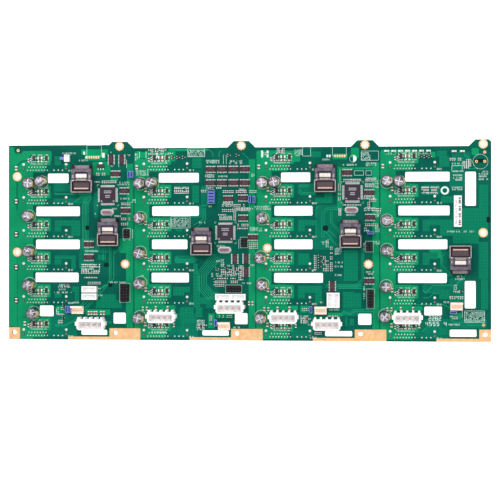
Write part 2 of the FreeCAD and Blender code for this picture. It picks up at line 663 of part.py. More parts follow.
def power_pins():
    """Four round pins in each power socket, standing on the floor of its mouth."""
    pins = []
    middle = minus(total(half(cell("power_rib_reach")), cell("power_mouth_shift")))
    for number, (column, row, across, up) in enumerate(POWER_SOCKETS, start=1):
        for place in (-1.5, -0.5, 0.5, 1.5):
            pin = prism(f"power_pin_{number}_{len(pins) % 4 + 1}", 6,
                        cell("power_pin_radius"), cell("power_pin_height"))
            set_place(pin, total(bay_x(column, across), f"{place} * Sizes.power_pin_pitch"),
                      total(bay_y(row, up), middle), total(CABLE_SIDE, cell("power_floor")))
            pins.append(pin)
    return group("power_pins", pins)


# ---------------------------------------------------------------- controller chips and crystals
def controller_chip(number, column, row, across, up):
    """Flat square chip with its corners bevelled and a row of leads along each side."""
    body = new_body(f"controller_chip_{number}")
    side = half(cell("chip_width"))
    tip = total(side, cell("lead_reach"))
    row_half = half(cell("lead_row"))
    leads = new_sketch(body, "leads")
    corners = []
    for turn in range(4):
        quarter = [(side, minus(row_half)), (tip, minus(row_half)), (tip, row_half), (side, row_half)]
        if turn == 1:
            quarter = [(minus(y), x) for x, y in quarter]
        elif turn == 2:
            quarter = [(minus(x), minus(y)) for x, y in quarter]
        elif turn == 3:
            quarter = [(y, minus(x)) for x, y in quarter]
        corners += quarter
    add_outline(leads, corners)
    pad(body, leads, cell("lead_height"))
    package = new_sketch(body, "package")
    add_relieved_rectangle(package, minus(side), side, minus(side), side, cell("chip_corner"))
    pad(body, package, cell("chip_height"))
    set_place(body, bay_x(column, across), bay_y(row, up), CABLE_SIDE)
    return keep(body, f"controller_chip_{number}")


def crystal(name, column, row, across, up):
    """Crystal can: long and narrow, with rounded ends."""
    body = new_body(name)
    plan = new_sketch(body, "plan")
    side = half(cell("crystal_length"))
    depth = half(cell("crystal_width"))
    add_relieved_rectangle(plan, minus(side), side, minus(depth), depth, cell("crystal_corner"))
    pad(body, plan, cell("crystal_height"))
    set_place(body, bay_x(column, across), bay_y(row, up), CABLE_SIDE)
    return body


# ---------------------------------------------------------------- small connectors
def pin_headers():
    """Black bodies of the pin headers, as wide and deep as their rows of pins."""
    bodies = []
    for number, (column, row, across, up, wide, deep) in enumerate(PIN_HEADERS, start=1):
        bodies.append(block(f"pin_header_{number}", f"{wide} * Sizes.pin_pitch", f"{deep} * Sizes.pin_pitch",
                            cell("header_height"), bay_x(column, across), bay_y(row, up)))
    return group("pin_headers", bodies)


def jumper_caps():
    """Blue jumper caps, side by side at the pin pitch."""
    caps = []
    for number, (column, row, across, up, quarter_turn, count) in enumerate(JUMPERS, start=1):
        for place in range(count):
            shift = f"{place - (count - 1) / 2} * Sizes.pin_pitch"
            x = bay_x(column, across)
            y = bay_y(row, up)
            if quarter_turn:
                y = total(y, shift)
            else:
                x = total(x, shift)
            caps.append(block(f"jumper_{number}_{place + 1}", cell("jumper_width"), cell("jumper_length"),
                              cell("jumper_height"), x, y, quarter_turn))
    return group("jumper_caps", caps)


def sideband_header(number, column, row, across, up, quarter_turn):
    """White shrouded header: a box with a thin wall, open on top."""
    body = new_body(f"sideband_header_{number}")
    side = half(cell("sideband_length"))
    depth = half(cell("sideband_width"))
    wall = cell("sideband_wall")
    plan = new_sketch(body, "plan")
    add_rectangle(plan, minus(side), side, minus(depth), depth)
    pad(body, plan, cell("sideband_height"))
    mouth = new_sketch(body, "mouth", offset=cell("sideband_height"))
    add_rectangle(mouth, minus(total(side, minus(wall))), total(side, minus(wall)),
                  minus(total(depth, minus(wall))), total(depth, minus(wall)))
    pocket(body, mouth, total(cell("sideband_height"), minus(cell("sideband_floor"))))
    set_place(body, bay_x(column, across), bay_y(row, up), CABLE_SIDE, 90 if quarter_turn else 0)
    return body


def fan_header(number, column, row, across, up):
    """Cream fan header: a low base with a tall locking wall behind it."""
    body = new_body(f"fan_header_{number}")
    front = minus(half(cell("fan_width")))
    back = half(cell("fan_width"))
    profile = new_sketch(body, "profile", "YZ_Plane")
    add_outline(profile, [
        (front, "0"), (back, "0"), (back, cell("fan_height")),
        (total(back, minus(cell("fan_back"))), cell("fan_height")),
        (total(back, minus(cell("fan_back"))), cell("fan_base")), (front, cell("fan_base")),
    ])
    pad(body, profile, cell("fan_length"), midplane=True)
    set_place(body, bay_x(column, across), bay_y(row, up), CABLE_SIDE)
    return body


# ---------------------------------------------------------------- logic chips and label
def logic_chips():
    chips = []
    for number, (column, row, across, up, quarter_turn) in enumerate(LOGIC_CHIPS, start=1):
        chips.append(block(f"logic_chip_{number}", cell("logic_length"), cell("logic_width"),
                           cell("logic_height"), bay_x(column, across), bay_y(row, up), quarter_turn))
    return group("logic_chips", chips)


def paper_label():
    column, row, across, up = LABEL
    label = block("paper_label", cell("label_width"), cell("label_length"), cell("label_thickness"),
                  bay_x(column, across), bay_y(row, up))
    return keep(label, "paper_label")


# ---------------------------------------------------------------- the whole part
def build():
    circuit_board()
    number = 0
    for row in range(ROWS):
        for column in range(COLUMNS):
            number += 1
            drive_socket(number, column, row)
    capacitor_columns()
    for number, place in enumerate(DATA_PORTS, start=1):
        data_port(number, *place)
        data_port_shell(number, *place)
    for number, place in enumerate(POWER_SOCKETS, start=1):
        power_socket(number, *place)
    power_pins()
    for number, place in enumerate(CONTROLLER_CHIPS, start=1):
        controller_chip(number, *place)
    group("crystals", [crystal(f"crystal_{index + 1}", *place) for index, place in enumerate(CRYSTALS)])
    pin_headers()
    jumper_caps()
    group("sideband_headers", [sideband_header(index + 1, *place)
                               for index, place in enumerate(SIDEBAND_HEADERS)])
    group("fan_headers", [fan_header(index + 1, *place) for index, place in enumerate(FAN_HEADERS)])
    logic_chips()
    paper_label()
    DOC.recompute()


def check():
    """Stop before anything is written if an object failed or a shape is bad."""
    for item in DOC.Objects:
        if "Invalid" in item.State or "Error" in item.State:
            raise SystemExit(f"{item.Label} failed: {item.State}")
    for label, item in NODES.items():
        if item.Shape.isNull() or not item.Shape.isValid():
            raise SystemExit(f"{label} has a bad shape")


def export():
    os.makedirs("parts", exist_ok=True)
    for label, item in NODES.items():
        item.Shape.exportStep(f"parts/{label}.step")
        print(f"{label}: {len(item.Shape.Solids)} solid(s), {item.Shape.Volume:.1f} mm3")


build()
check()
export()
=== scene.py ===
# %% [markdown]
# # A drive backplane board, dressed in Blender
# The solid parts of the board come from the CAD model as a fixed frame: the bare board, its sockets,
# ports and chips, each in its true place. This lesson gives them their finishes and adds what is too
# fine for the CAD model: copper under the green mask, gold pads, solder, leads, tiny parts and ink.

# %% Load the frame
import math
import random
import bmesh
import bpy
from mathutils import Matrix, Vector
from mathutils.bvhtree import BVHTree


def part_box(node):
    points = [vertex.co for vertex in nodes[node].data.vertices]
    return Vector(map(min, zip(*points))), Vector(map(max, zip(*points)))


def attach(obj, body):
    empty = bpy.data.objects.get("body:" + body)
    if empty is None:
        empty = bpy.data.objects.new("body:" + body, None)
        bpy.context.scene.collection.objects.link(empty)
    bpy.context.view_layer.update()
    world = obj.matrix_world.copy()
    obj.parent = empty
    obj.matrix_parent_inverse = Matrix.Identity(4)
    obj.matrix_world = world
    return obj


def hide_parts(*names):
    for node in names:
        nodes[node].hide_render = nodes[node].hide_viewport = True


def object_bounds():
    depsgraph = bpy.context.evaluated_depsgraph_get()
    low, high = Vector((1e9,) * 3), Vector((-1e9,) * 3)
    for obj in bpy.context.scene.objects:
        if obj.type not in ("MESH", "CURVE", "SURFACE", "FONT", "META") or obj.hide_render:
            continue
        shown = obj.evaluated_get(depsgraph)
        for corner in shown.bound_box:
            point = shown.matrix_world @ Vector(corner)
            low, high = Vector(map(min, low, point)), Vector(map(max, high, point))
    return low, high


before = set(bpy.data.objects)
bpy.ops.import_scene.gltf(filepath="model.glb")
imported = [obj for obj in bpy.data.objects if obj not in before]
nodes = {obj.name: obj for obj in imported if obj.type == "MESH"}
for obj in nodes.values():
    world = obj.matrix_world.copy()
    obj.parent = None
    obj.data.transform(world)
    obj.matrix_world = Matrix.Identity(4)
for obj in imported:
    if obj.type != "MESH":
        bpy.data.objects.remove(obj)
CAD_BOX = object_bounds()
MM = 0.001
print("CAD nodes:", len(nodes))

# %% [markdown]
# ## The grid of drive bays
# Everything on this board repeats with the drives: four columns and six rows. Each bay's zero is the
# left guide hole over its socket, so the sockets' own boxes give all 24 zeros.

# %% Bay zeros and board faces
board_low, board_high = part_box("circuit_board")
TOP = board_high[2]
BOTTOM = board_low[2]
GUIDE_SPACING = 38.4 * MM
SOCKET_DROP = 4.0 * MM
bays = []
for number in range(1, 25):
    low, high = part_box(f"drive_socket_{number:02d}")
    bays.append(((low[0] + high[0]) / 2 - GUIDE_SPACING / 2, (low[1] + high[1]) / 2 + SOCKET_DROP))


def bay(column, row):
    """A bay's zero in metres: column 0 is the left one, row 0 the top one."""
    return bays[row * 4 + column]


print("bay pitch, mm:", round((bays[1][0] - bays[0][0]) / MM, 2), round((bays[0][1] - bays[4][1]) / MM, 2))

# %% [markdown]
# ## Helpers for materials
# Colours are written as the hex values that a colour picker shows, so one function turns them linear.
# One small function adds a node with its settings and links. `finish` is the pattern most of the finishes
# share: a base colour that wanders a little between two shades, and a fine bump of a real size.


# %% Material helpers
def linear(hex_colour):
    """sRGB hex to linear RGBA."""
    parts = [int(hex_colour[i:i + 2], 16) / 255 for i in (1, 3, 5)]
    return tuple(c / 12.92 if c <= 0.04045 else ((c + 0.055) / 1.055) ** 2.4 for c in parts) + (1.0,)


def add_node(tree, kind, inputs=None, **settings):
    """One shader node: settings are its properties, inputs are values or (node, output) links."""
    item = tree.nodes.new(kind)
    for name, value in settings.items():
        setattr(item, name, value)
    for socket, value in (inputs or {}).items():
        if isinstance(value, tuple) and len(value) == 2 and hasattr(value[0], "outputs"):
            tree.links.new(value[0].outputs[value[1]], item.inputs[socket])
        else:
            item.inputs[socket].default_value = value
    return item


def ramp(tree, factor, stops):
    """Colour ramp between (place, hex) stops."""
    item = add_node(tree, "ShaderNodeValToRGB", {"Fac": factor})
    while len(item.color_ramp.elements) < len(stops):
        item.color_ramp.elements.new(0.5)
    for element, (place, colour) in zip(item.color_ramp.elements, stops):
        element.position = place
        element.color = linear(colour)
    return item


def new_material(name):
    """Empty material and its node tree."""
    material = bpy.data.materials.new(name)
    material.use_nodes = True
    material.node_tree.nodes.clear()
    return material, material.node_tree


def finish(name, dark, light, grain_mm, bump_mm=0.01, contrast=(0.35, 0.65), **shader):
    """Principled surface whose colour wanders between two shades, with a bump of the same grain."""
    material, tree = new_material(name)
    place = add_node(tree, "ShaderNodeTexCoord")
    grain = add_node(tree, "ShaderNodeTexNoise", {
        "Vector": (place, "Object"), "Scale": 1 / (grain_mm * MM), "Detail": 3.0, "Roughness": 0.55})
    colour = ramp(tree, (grain, "Fac"), [(contrast[0], dark), (contrast[1], light)])
    bump = add_node(tree, "ShaderNodeBump", {
        "Height": (grain, "Fac"), "Distance": bump_mm * MM, "Strength": 0.4})
    surface = add_node(tree, "ShaderNodeBsdfPrincipled", {
        "Base Color": (colour, "Color"), "Normal": (bump, "Normal")})
    for socket, value in shader.items():
        surface.inputs[socket.replace("_", " ")].default_value = value
    add_node(tree, "ShaderNodeOutputMaterial", {"Surface": (surface, "BSDF")})
    return material


print("white as linear:", linear("#FFFFFF"))

# %% [markdown]
# ## The finishes
# Solder mask is a glossy green epoxy ink. Over bare laminate it looks deep bluish green; over copper,
# which reflects light back through it, it is clearly lighter. Open copper is plated with immersion
# gold, solder is bright tin, and all lettering is white epoxy ink. Part bodies are matte epoxy or nylon.

# %% Solder mask
MASK_GLOSS = {"Roughness": 0.45, "Specular IOR Level": 0.035}
DEEP_GREEN = ("#02574A", "#04624F")
SQUARE_PITCH = 1.27
mask_on_laminate = finish("solder_mask_on_laminate", *DEEP_GREEN, 14.0, 0.02, **MASK_GLOSS)
mask_on_trace = finish("solder_mask_on_a_trace", "#1A9A6E", "#24A87A", 14.0, 0.02, **MASK_GLOSS)
mask_on_copper = finish("solder_mask_on_copper", "#0A8E5E", "#129866", 18.0, 0.02, **MASK_GLOSS)
mask_on_inner_copper = finish("solder_mask_on_inner_copper", "#046C54", "#087A60", 16.0, 0.02, **MASK_GLOSS)


def thieving_mask():
    """Mask over a field of small copper squares that even out the plating."""
    material, tree = new_material("solder_mask_on_thieving_squares")
    place = add_node(tree, "ShaderNodeTexCoord")
    squares = add_node(tree, "ShaderNodeTexBrick", {
        "Vector": (place, "Object"), "Scale": 1 / (SQUARE_PITCH * MM),
        "Color1": linear("#0E8A64"), "Color2": linear("#0A8460"), "Mortar": linear("#026650"),
        "Mortar Size": 0.13, "Brick Width": 1.0, "Row Height": 1.0}, offset=0.0)
    surface = add_node(tree, "ShaderNodeBsdfPrincipled", {"Base Color": (squares, "Color"), **MASK_GLOSS})
    add_node(tree, "ShaderNodeOutputMaterial", {"Surface": (surface, "BSDF")})
    return material


def board_mask():
    """Green mask on the two faces, bare glass and epoxy on every routed edge and slot wall."""
    material, tree = new_material("masked_faces_and_routed_edges")
    place = add_node(tree, "ShaderNodeTexCoord")
    cloud = add_node(tree, "ShaderNodeTexNoise", {"Vector": (place, "Object"), "Scale": 1 / (14 * MM)})
    green = ramp(tree, (cloud, 0), list(zip((0.35, 0.65), DEEP_GREEN)))
    geometry = add_node(tree, "ShaderNodeNewGeometry")
    facing = add_node(tree, "ShaderNodeSeparateXYZ", {"Vector": (geometry, "Normal")})
    flat = add_node(tree, "ShaderNodeMath", {0: (facing, "Z")}, operation="ABSOLUTE")
    on_face = add_node(tree, "ShaderNodeMath", {0: (flat, 0), 1: 0.5}, operation="GREATER_THAN")
    colour = add_node(tree, "ShaderNodeMix", {
        0: (on_face, 0), 6: linear("#3E5A3C"), 7: (green, "Color")}, data_type="RGBA")
    masked = add_node(tree, "ShaderNodeBsdfPrincipled", {"Base Color": (colour, 2), **MASK_GLOSS})
    routed = add_node(tree, "ShaderNodeBsdfDiffuse", {"Color": linear("#2E4A36"), "Roughness": 1.0})
    surface = add_node(tree, "ShaderNodeMixShader", {0: (on_face, 0), 1: (routed, 0), 2: (masked, 0)})
    add_node(tree, "ShaderNodeOutputMaterial", {"Surface": (surface, 0)})
    return material


mask_on_squares = thieving_mask()
board_finish = board_mask()
print("materials after the solder masks:", len(bpy.data.materials))

# %% Metals
gold_plate = finish("immersion_gold", "#EDB57D", "#F7CB9B", 3.0, 0.01, Metallic=0.55, Roughness=0.42)
gold_rubbed = finish("rubbed_gold", "#F0D3AE", "#FAE7CB", 1.2, 0.01, Metallic=0.4, Roughness=0.4)
solder_tin = finish("bright_solder", "#E4E8E4", "#FFFFFF", 0.6, 0.02, Metallic=0.35, Roughness=0.32)
can_top_aluminium = finish("etched_aluminium", "#544D5A", "#ADA6B0", 2.4, 0.08, (0.38, 0.6),
                           Metallic=0.6, Roughness=0.35)
# Painted highlight: the scores on the can tops are painted near white, where light catches the grooves.
can_score_highlight = finish("scores_painted_as_highlights", "#E8E4EA", "#FFFFFF", 1.0, 0.01, Metallic=0.4, Roughness=0.4)
cover_sheet = finish("nickel_plated_sheet", "#544C5A", "#766C7D", 3.0, 0.02, Metallic=0.7, Roughness=0.42)
# Painted highlight: the latch tongue and two spots on each port's cover are painted far brighter than the
# sheet they are pressed from.
latch_highlight_metal = finish("sheet_in_painted_highlight", "#D8CFC6", "#F7EFE6", 1.5, 0.02, Metallic=0.45, Roughness=0.35)
frame_sheet = finish("tinned_frame_sheet", "#9C8E92", "#C4B8B8", 2.0, 0.02, Metallic=0.5, Roughness=0.45)
crystal_steel = finish("drawn_crystal_can", "#8E7C82", "#AE9CA2", 1.2, 0.01, Metallic=0.7, Roughness=0.3)
print("materials after the metals:", len(bpy.data.materials))

# %% Plastics, epoxies, ink and paper
DULL = {"Roughness": 0.55, "Specular IOR Level": 0.2}
black_nylon = finish("glass_filled_black_nylon", "#17131A", "#262029", 0.8, 0.02, **DULL)
chip_epoxy = finish("moulded_chip_epoxy", "#3A232B", "#4E343C", 0.7, 0.02, **DULL)
controller_epoxy = finish("controller_epoxy", "#2F2832", "#3C3440", 0.7, 0.02, **DULL)
# White and cream nylon glow faintly: painted light that lifts the shade in their recesses, such as the
# insides of the power sockets.
NYLON_GLOW = {"Roughness": 0.45, "Emission Color": (1, 1, 1, 1), "Emission Strength": 0.09}
white_nylon = finish("white_nylon", "#F2EFF0", "#FFFFFF", 2.0, 0.02, **NYLON_GLOW)
cream_nylon = finish("cream_nylon", "#F8E3D0", "#FEF0E2", 2.0, 0.02, Roughness=0.45, **{
    "Emission Color": linear("#F8DFC4"), "Emission Strength": 0.12})
blue_plastic = finish("blue_jumper_plastic", "#4C66C4", "#7C93E4", 1.0, 0.02, Roughness=0.4)
white_ink = finish("white_marking_ink", "#C4EBDC", "#EEFFF8", 0.5, 0.005, Roughness=0.6)
ceramic_tan = finish("chip_capacitor_ceramic", "#7A4438", "#9C6450", 0.5, 0.01, Roughness=0.5)
resistor_black = finish("chip_resistor_glaze", "#140D10", "#2A1C20", 0.5, 0.01, Roughness=0.35)
label_paper = finish("label_paper", "#F4F0F2", "#FFFFFF", 4.0, 0.01, Roughness=0.7)
print("materials after the plastics and inks:", len(bpy.data.materials))


# %% [markdown]
# ## Helpers for geometry
# Small shapes are made once with bmesh operators, as stamps about their own zero, and then set down many
# times. `set_down` puts a stamp at a place on the board. A finished piece is one mesh at the origin.

# %% Meshes out of a bmesh
def to_mesh(name, bm, material=None):
    """Mesh from a bmesh, which is freed. Where a material is given, every face takes it."""
    if material is not None:
        for face in bm.faces:
            face.material_index = material
    mesh = bpy.data.meshes.new(name)
    bm.to_mesh(mesh)
    bm.free()
    return mesh


def grow(bm, faces, way):
    """Extrude faces by a vector in metres."""
    grown = bmesh.ops.extrude_face_region(bm, geom=faces)["geom"]
    corners = [item for item in grown if isinstance(item, bmesh.types.BMVert)]
    bmesh.ops.translate(bm, verts=corners, vec=way)
    bmesh.ops.recalc_face_normals(bm, faces=bm.faces)


def bevel_edges(bm, edges, offset, segments=1):
    """Bevel edges by an offset in millimetres."""
    bmesh.ops.bevel(bm, geom=edges, offset=offset * MM, offset_type="OFFSET", affect="EDGES",
                    segments=segments, profile=0.5, material=-1)


def new_block(size):
    """Block of a size in millimetres about its own centre."""
    bm = bmesh.new()
    bmesh.ops.create_cube(bm, size=1.0, matrix=Matrix.Diagonal((*(side * MM for side in size), 1.0)))
    return bm


# %% Stamps
def box_stamp(name, size, lift=0.0, bevel=0.0, material=0):
    """Block with its foot at z = lift, in millimetres, its upper edges bevelled."""
    bm = new_block(size)
    bmesh.ops.translate(bm, verts=bm.verts, vec=(0, 0, (size[2] / 2 + lift) * MM))
    if bevel:
        middle_height = (lift + size[2] * 0.5) * MM
        bevel_edges(bm, [e for e in bm.edges if max(v.co.z for v in e.verts) > middle_height], bevel)
    return to_mesh(name, bm, material)


def cone_stamp(name, low_radius, high_radius, height, lift=0.0, sides=8, material=0):
    """Round stamp, from one radius at the foot to another at the top, in millimetres."""
    bm = bmesh.new()
    bmesh.ops.create_cone(bm, cap_ends=True, segments=sides, depth=height * MM,
                          radius1=low_radius * MM, radius2=high_radius * MM)
    bmesh.ops.translate(bm, verts=bm.verts, vec=(0, 0, (height / 2 + lift) * MM))
    return to_mesh(name, bm, material)


def lathe_stamp(name, profile, sides, material_of=None, closed=False):
    """Turned stamp: (radius, height) points in millimetres, spun about Z.

    `closed` joins the last point to the first.
    """
    bm = bmesh.new()
    points = [bm.verts.new((r * MM, 0, z * MM)) for r, z in profile]
    edges = [bm.edges.new(pair) for pair in zip(points, points[1:])]
    if closed:
        edges.append(bm.edges.new((points[-1], points[0])))
    bmesh.ops.spin(bm, geom=points + edges, cent=(0, 0, 0), axis=(0, 0, 1), angle=math.tau,
                   steps=sides, use_merge=True)
    bmesh.ops.remove_doubles(bm, verts=bm.verts, dist=1e-7)
    bmesh.ops.recalc_face_normals(bm, faces=bm.faces)
    if material_of:
        for face in bm.faces:
            face.material_index = material_of(face.calc_center_median() / MM)
    return to_mesh(name, bm)


def washer_stamp(name, inner, outer, height, sides):
    """Flat ring between two radii in millimetres."""
    return lathe_stamp(name, [(inner, 0), (outer, 0), (outer, height), (inner, height)], sides, closed=True)


def extruded_stamp(name, outline, width, material=0):
    """Stamp with an (x, z) outline in millimetres, as wide as `width` along Y and centred there."""
    bm = bmesh.new()
    face = bm.faces.new([bm.verts.new((x * MM, -width / 2 * MM, z * MM)) for x, z in outline])
    grow(bm, [face], (0, width * MM, 0))
    return to_mesh(name, bm, material)


def slab_stamp(name, corners, height, lift=0.0, bevel=0.0, material=0):
    """Stamp with a plan outline in millimetres and an upper rim bevelled."""
    bm = bmesh.new()
    face = bm.faces.new([bm.verts.new((x * MM, y * MM, lift * MM)) for x, y in corners])
    grow(bm, [face], (0, 0, height * MM))
    if bevel:
        rim_height = (lift + height * 0.9) * MM
        bevel_edges(bm, [e for e in bm.edges if min(v.co.z for v in e.verts) > rim_height], bevel, segments=2)
    return to_mesh(name, bm, material)


print("faces of a bevelled block:", len(box_stamp("trial_block", (2.0, 2.0, 1.0), bevel=0.2).polygons))

# %% Joining stamps and setting them down
HERE = Matrix.Identity(4)


def join_stamps(name, placed):
    """Several (stamp, matrix) as one stamp."""
    bm = bmesh.new()
    for mesh, matrix in placed:
        copy = mesh.copy()
        copy.transform(matrix)
        bm.from_mesh(copy)
        bpy.data.meshes.remove(copy)
    return to_mesh(name, bm)


def at(x, y, z=0.0, turn=0.0, size=(1, 1, 1)):
    """Matrix for a place in millimetres, a turn in degrees about Z and a scale."""
    return (Matrix.Translation((x * MM, y * MM, z * MM)) @ Matrix.Rotation(math.radians(turn), 4, "Z")
            @ Matrix.Diagonal((size[0], size[1], size[2], 1.0)))


def block(name, size, place, **look):
    """A box stamp and its place in millimetres, for `join_stamps`."""
    return box_stamp(name, size, **look), at(*place)


def set_down(bm, mesh, x, y, z=None, turn=0.0, size=(1, 1, 1)):
    """Copy a stamp to a place in metres, on the cable side of the board where z isn't given."""
    copy = mesh.copy()
    copy.transform(Matrix.Translation((x, y, TOP if z is None else z))
                   @ Matrix.Rotation(math.radians(turn), 4, "Z") @ Matrix.Diagonal((*size, 1.0)))
    bm.from_mesh(copy)
    bpy.data.meshes.remove(copy)


def finish_piece(name, bm, materials, stands_for=()):
    """Turn a bmesh into a finished piece that rides on the board."""
    mesh = to_mesh(name, bm)
    for material in materials:
        mesh.materials.append(material)
    piece = bpy.data.objects.new(name, mesh)
    bpy.context.scene.collection.objects.link(piece)
    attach(piece, "root")
    if stands_for:
        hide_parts(*stands_for)
    print(f"{name}: {len(mesh.polygons)} faces")


# %% The separate solids of a CAD node
def solids_of(node):
    """(lowest, highest) corner of each separate solid in a CAD node."""
    bm = bmesh.new()
    bm.from_mesh(nodes[node].data)
    bmesh.ops.remove_doubles(bm, verts=bm.verts, dist=1e-6)
    waiting = set(bm.verts)
    found = []
    while waiting:
        island = []
        queue = [waiting.pop()]
        while queue:
            vert = queue.pop()
            island.append(vert.co.copy())
            for edge in vert.link_edges:
                other = edge.other_vert(vert)
                if other in waiting:
                    waiting.remove(other)
                    queue.append(other)
        found.append(tuple([pick(corner[i] for corner in island) for i in range(3)] for pick in (min, max)))
    bm.free()
    return sorted(found, key=lambda box: (round(box[0][0], 5), round(box[0][1], 5)))


def middle(box):
    """Middle of a box in plan."""
    return (box[0][0] + box[1][0]) / 2, (box[0][1] + box[1][1]) / 2


def is_upright(box):
    """True where a solid is longer along Y than along X."""
    return box[1][1] - box[0][1] > box[1][0] - box[0][0]


print("solids of the jumper caps:", len(solids_of("jumper_caps")))

# %% [markdown]
# ## Copper under the mask
# Copper areas have exactly the board's own holes and slots, so each one is cut out of a copy of the board's
# top face: it is bisected along every side of the area's outline, and what is left is extruded. The heights
# below aren't those of real copper, which is 0.035 mm thick: they settle which kind lies over which.

# %% The board's bare faces
# Heights over the face, in millimetres
INNER_HEIGHT = 0.008
POUR_HEIGHT = 0.03
SQUARES_HEIGHT = 0.08
PART_GAP_HEIGHT = 0.092
TRACE_HEIGHT = 0.106
SMALL_GAP_HEIGHT = 0.107
GAP_HEIGHT = 0.108
GOLD_HEIGHT = 0.11
INK_HEIGHT = 0.14


def bare_face(height, upwards):
    """The board's flat face at a height, without its holes' walls."""
    bm = bmesh.new()
    bm.from_mesh(nodes["circuit_board"].data)
    bmesh.ops.remove_doubles(bm, verts=bm.verts, dist=1e-6)
    bm.normal_update()
    sign = 1 if upwards else -1
    others = [f for f in bm.faces if f.normal.z * sign < 0.9 or abs(f.calc_center_median().z - height) > 1e-5]
    bmesh.ops.delete(bm, geom=others, context="FACES")
    return bm


top_face = bare_face(TOP, True)
print("top face triangles:", len(top_face.faces))

# %% Where the board is bare
# What stands on the board: left, right, low and high of every solid that rises above the top face
standing = []
for name in nodes:
    if name != "circuit_board":
        tall = [(low, high) for low, high in solids_of(name) if high[2] > TOP + 0.5 * MM]
        standing += [(low[0], high[0], low[1], high[1]) for low, high in tall]
top_tree = BVHTree.FromBMesh(top_face)


def on_bare_board(x, y, reach):
    """True where a mark or a small part of this reach finds bare board, in millimetres."""
    x, y, reach = x * MM, y * MM, reach * MM
    for left, right, bottom, top in standing:
        if left - reach < x < right + reach and bottom - reach < y < top + reach:
            return False
    spots = ((x - reach, y), (x + reach, y), (x, y - reach), (x, y + reach))
    down = Vector((0, 0, -1))
    return all(top_tree.ray_cast(Vector((*spot, TOP + 5 * MM)), down)[0] for spot in spots)


print("solids that stand on the board:", len(standing))


# %% Cut copper areas from a face
def trim(bm, corners):
    """Keep what lies inside a convex outline, corners anticlockwise in metres."""
    for start, end in zip(corners, corners[1:] + corners[:1]):
        outwards = (end[1] - start[1], start[0] - end[0], 0)
        bmesh.ops.bisect_plane(bm, geom=bm.verts[:] + bm.edges[:] + bm.faces[:], dist=1e-7,
                               plane_co=(*start, 0), plane_no=outwards, clear_outer=True)


def rectangle(x0, x1, y0, y1, chamfer=0.0):
    """Corners of a rectangle, or an octagon where its corners are cut off."""
    if not chamfer:
        return [(x0, y0), (x1, y0), (x1, y1), (x0, y1)]
    c = chamfer
    return [(x0 + c, y0), (x1 - c, y0), (x1, y0 + c), (x1, y1 - c),
            (x1 - c, y1), (x0 + c, y1), (x0, y1 - c), (x0, y0 + c)]


# What each next area is thicker, in millimetres
HAIR = 0.0005


def lay_area(target, outlines, thickness, source=None, upwards=True):
    """Cut each convex outline from the face and give it a thickness.

    Each next area is a hair thicker, so that where two overlap one of them is clearly on top.
    """
    for index, corners in enumerate(outlines):
        patch = (source or top_face).copy()
        trim(patch, corners)
        if not patch.faces:
            patch.free()
            continue
        bmesh.ops.dissolve_limit(patch, angle_limit=0.01, verts=patch.verts, edges=patch.edges)
        lift = (thickness + HAIR * index) * MM * (1 if upwards else -1)
        grow(patch, patch.faces[:], (0, 0, lift))
        mesh = to_mesh("patch", patch)
        target.from_mesh(mesh)
        bpy.data.meshes.remove(mesh)


def mm_rectangle(x0, x1, y0, y1, chamfer=0.0):
    """Rectangle given in millimetres from the board's zero."""
    return rectangle(x0 * MM, x1 * MM, y0 * MM, y1 * MM, chamfer * MM)


def in_bay(column, row, x0, x1, y0, y1, chamfer=0.0):
    """Rectangle given in millimetres from a bay's zero."""
    x, y = bay(column, row)
    return rectangle(x + x0 * MM, x + x1 * MM, y + y0 * MM, y + y1 * MM, chamfer * MM)


def areas_in_bays(table, chamfer=0.0):
    """Outlines of all the areas in a table that is kept bay by bay."""
    return [in_bay(column, row, *area, chamfer) for (column, row), areas in table.items() for area in areas]


print("corners of a chamfered area:", len(mm_rectangle(0, 9, 0, 9, 1)))

# %% Copper planes beside the capacitors and around each socket's small parts
# Further pours in each bay: left, right, low and high in millimetres from the bay's zero
POURS = {
    (0, 0): [(52, 76, 8, 13), (55, 74, 3, 8), (62, 78, -10, 2), (78, 85, -15, -10)],
    (0, 2): [(86, 92, -20, -7)],
    (0, 5): [(56, 78, 13, 18), (29, 37, 15, 21), (92, 96, 4, 81)],
    (1, 0): [(22, 57, 11, 13), (17, 28, 2, 11)],
    (1, 5): [(57, 63, 2, 15), (64, 79, 11, 17), (1, 28, 18, 22)],
    (2, 0): [(24, 39, 11, 12), (23, 30, 1, 11), (58, 71, 3, 8), (74, 81, 4, 13), (66, 95, -6, -4)],
    (2, 1): [(62, 66, -10, 26)],
    (2, 5): [(30, 39, 16, 22), (54, 67, 13, 16), (41, 43, 13, 20), (1, 28, 18, 22)],
    (3, 0): [(-6, 5, -7, 8), (70, 76, 6, 12), (34, 39, 4, 9)],
    (3, 3): [(34, 44, 5, 12)],
    (3, 5): [(52, 61, 11, 16), (1, 28, 18, 22)]}


def round_socket(column, row, left):
    """The two areas round a drive socket's solder tails and small parts."""
    return [in_bay(column, row, left, 19.5, -7.0, 11.0, 1.2),
            in_bay(column, row, 12.0, 24.4, -0.9, 10.6, 0.9)]


planes = bmesh.new()
areas = [mm_rectangle(-211.2, -200.2, -76.0, 83.2), mm_rectangle(-201.5, -173.4, 69.8, 79.8, 1.0)]
for row in range(6):
    areas += round_socket(0, row, -3.0)
    # Down to the next row
    areas.append(in_bay(0, row, -3.0, 8.6, -17.8, -5.0))
for column in (1, 2, 3):
    for row in range(6):
        areas += round_socket(column, row, -8.4)
        areas.append(in_bay(column, row, -8.4, 4.8, -18.2 if row < 5 else -7.2, -6.5))
    areas.append(in_bay(column, 5, -15.2, -9.4, 2.0, 146.5 if column != 2 else 150.0))
areas += areas_in_bays(POURS, 0.6)
lay_area(planes, areas, POUR_HEIGHT)
finish_piece("copper_planes", planes, [mask_on_copper])

# %% [markdown]
# ## Deeper planes
# The board has several layers, and the nearest inner one shows faintly through the laminate. Its areas lie
# lowest of all and wear the darkest of the copper greens.

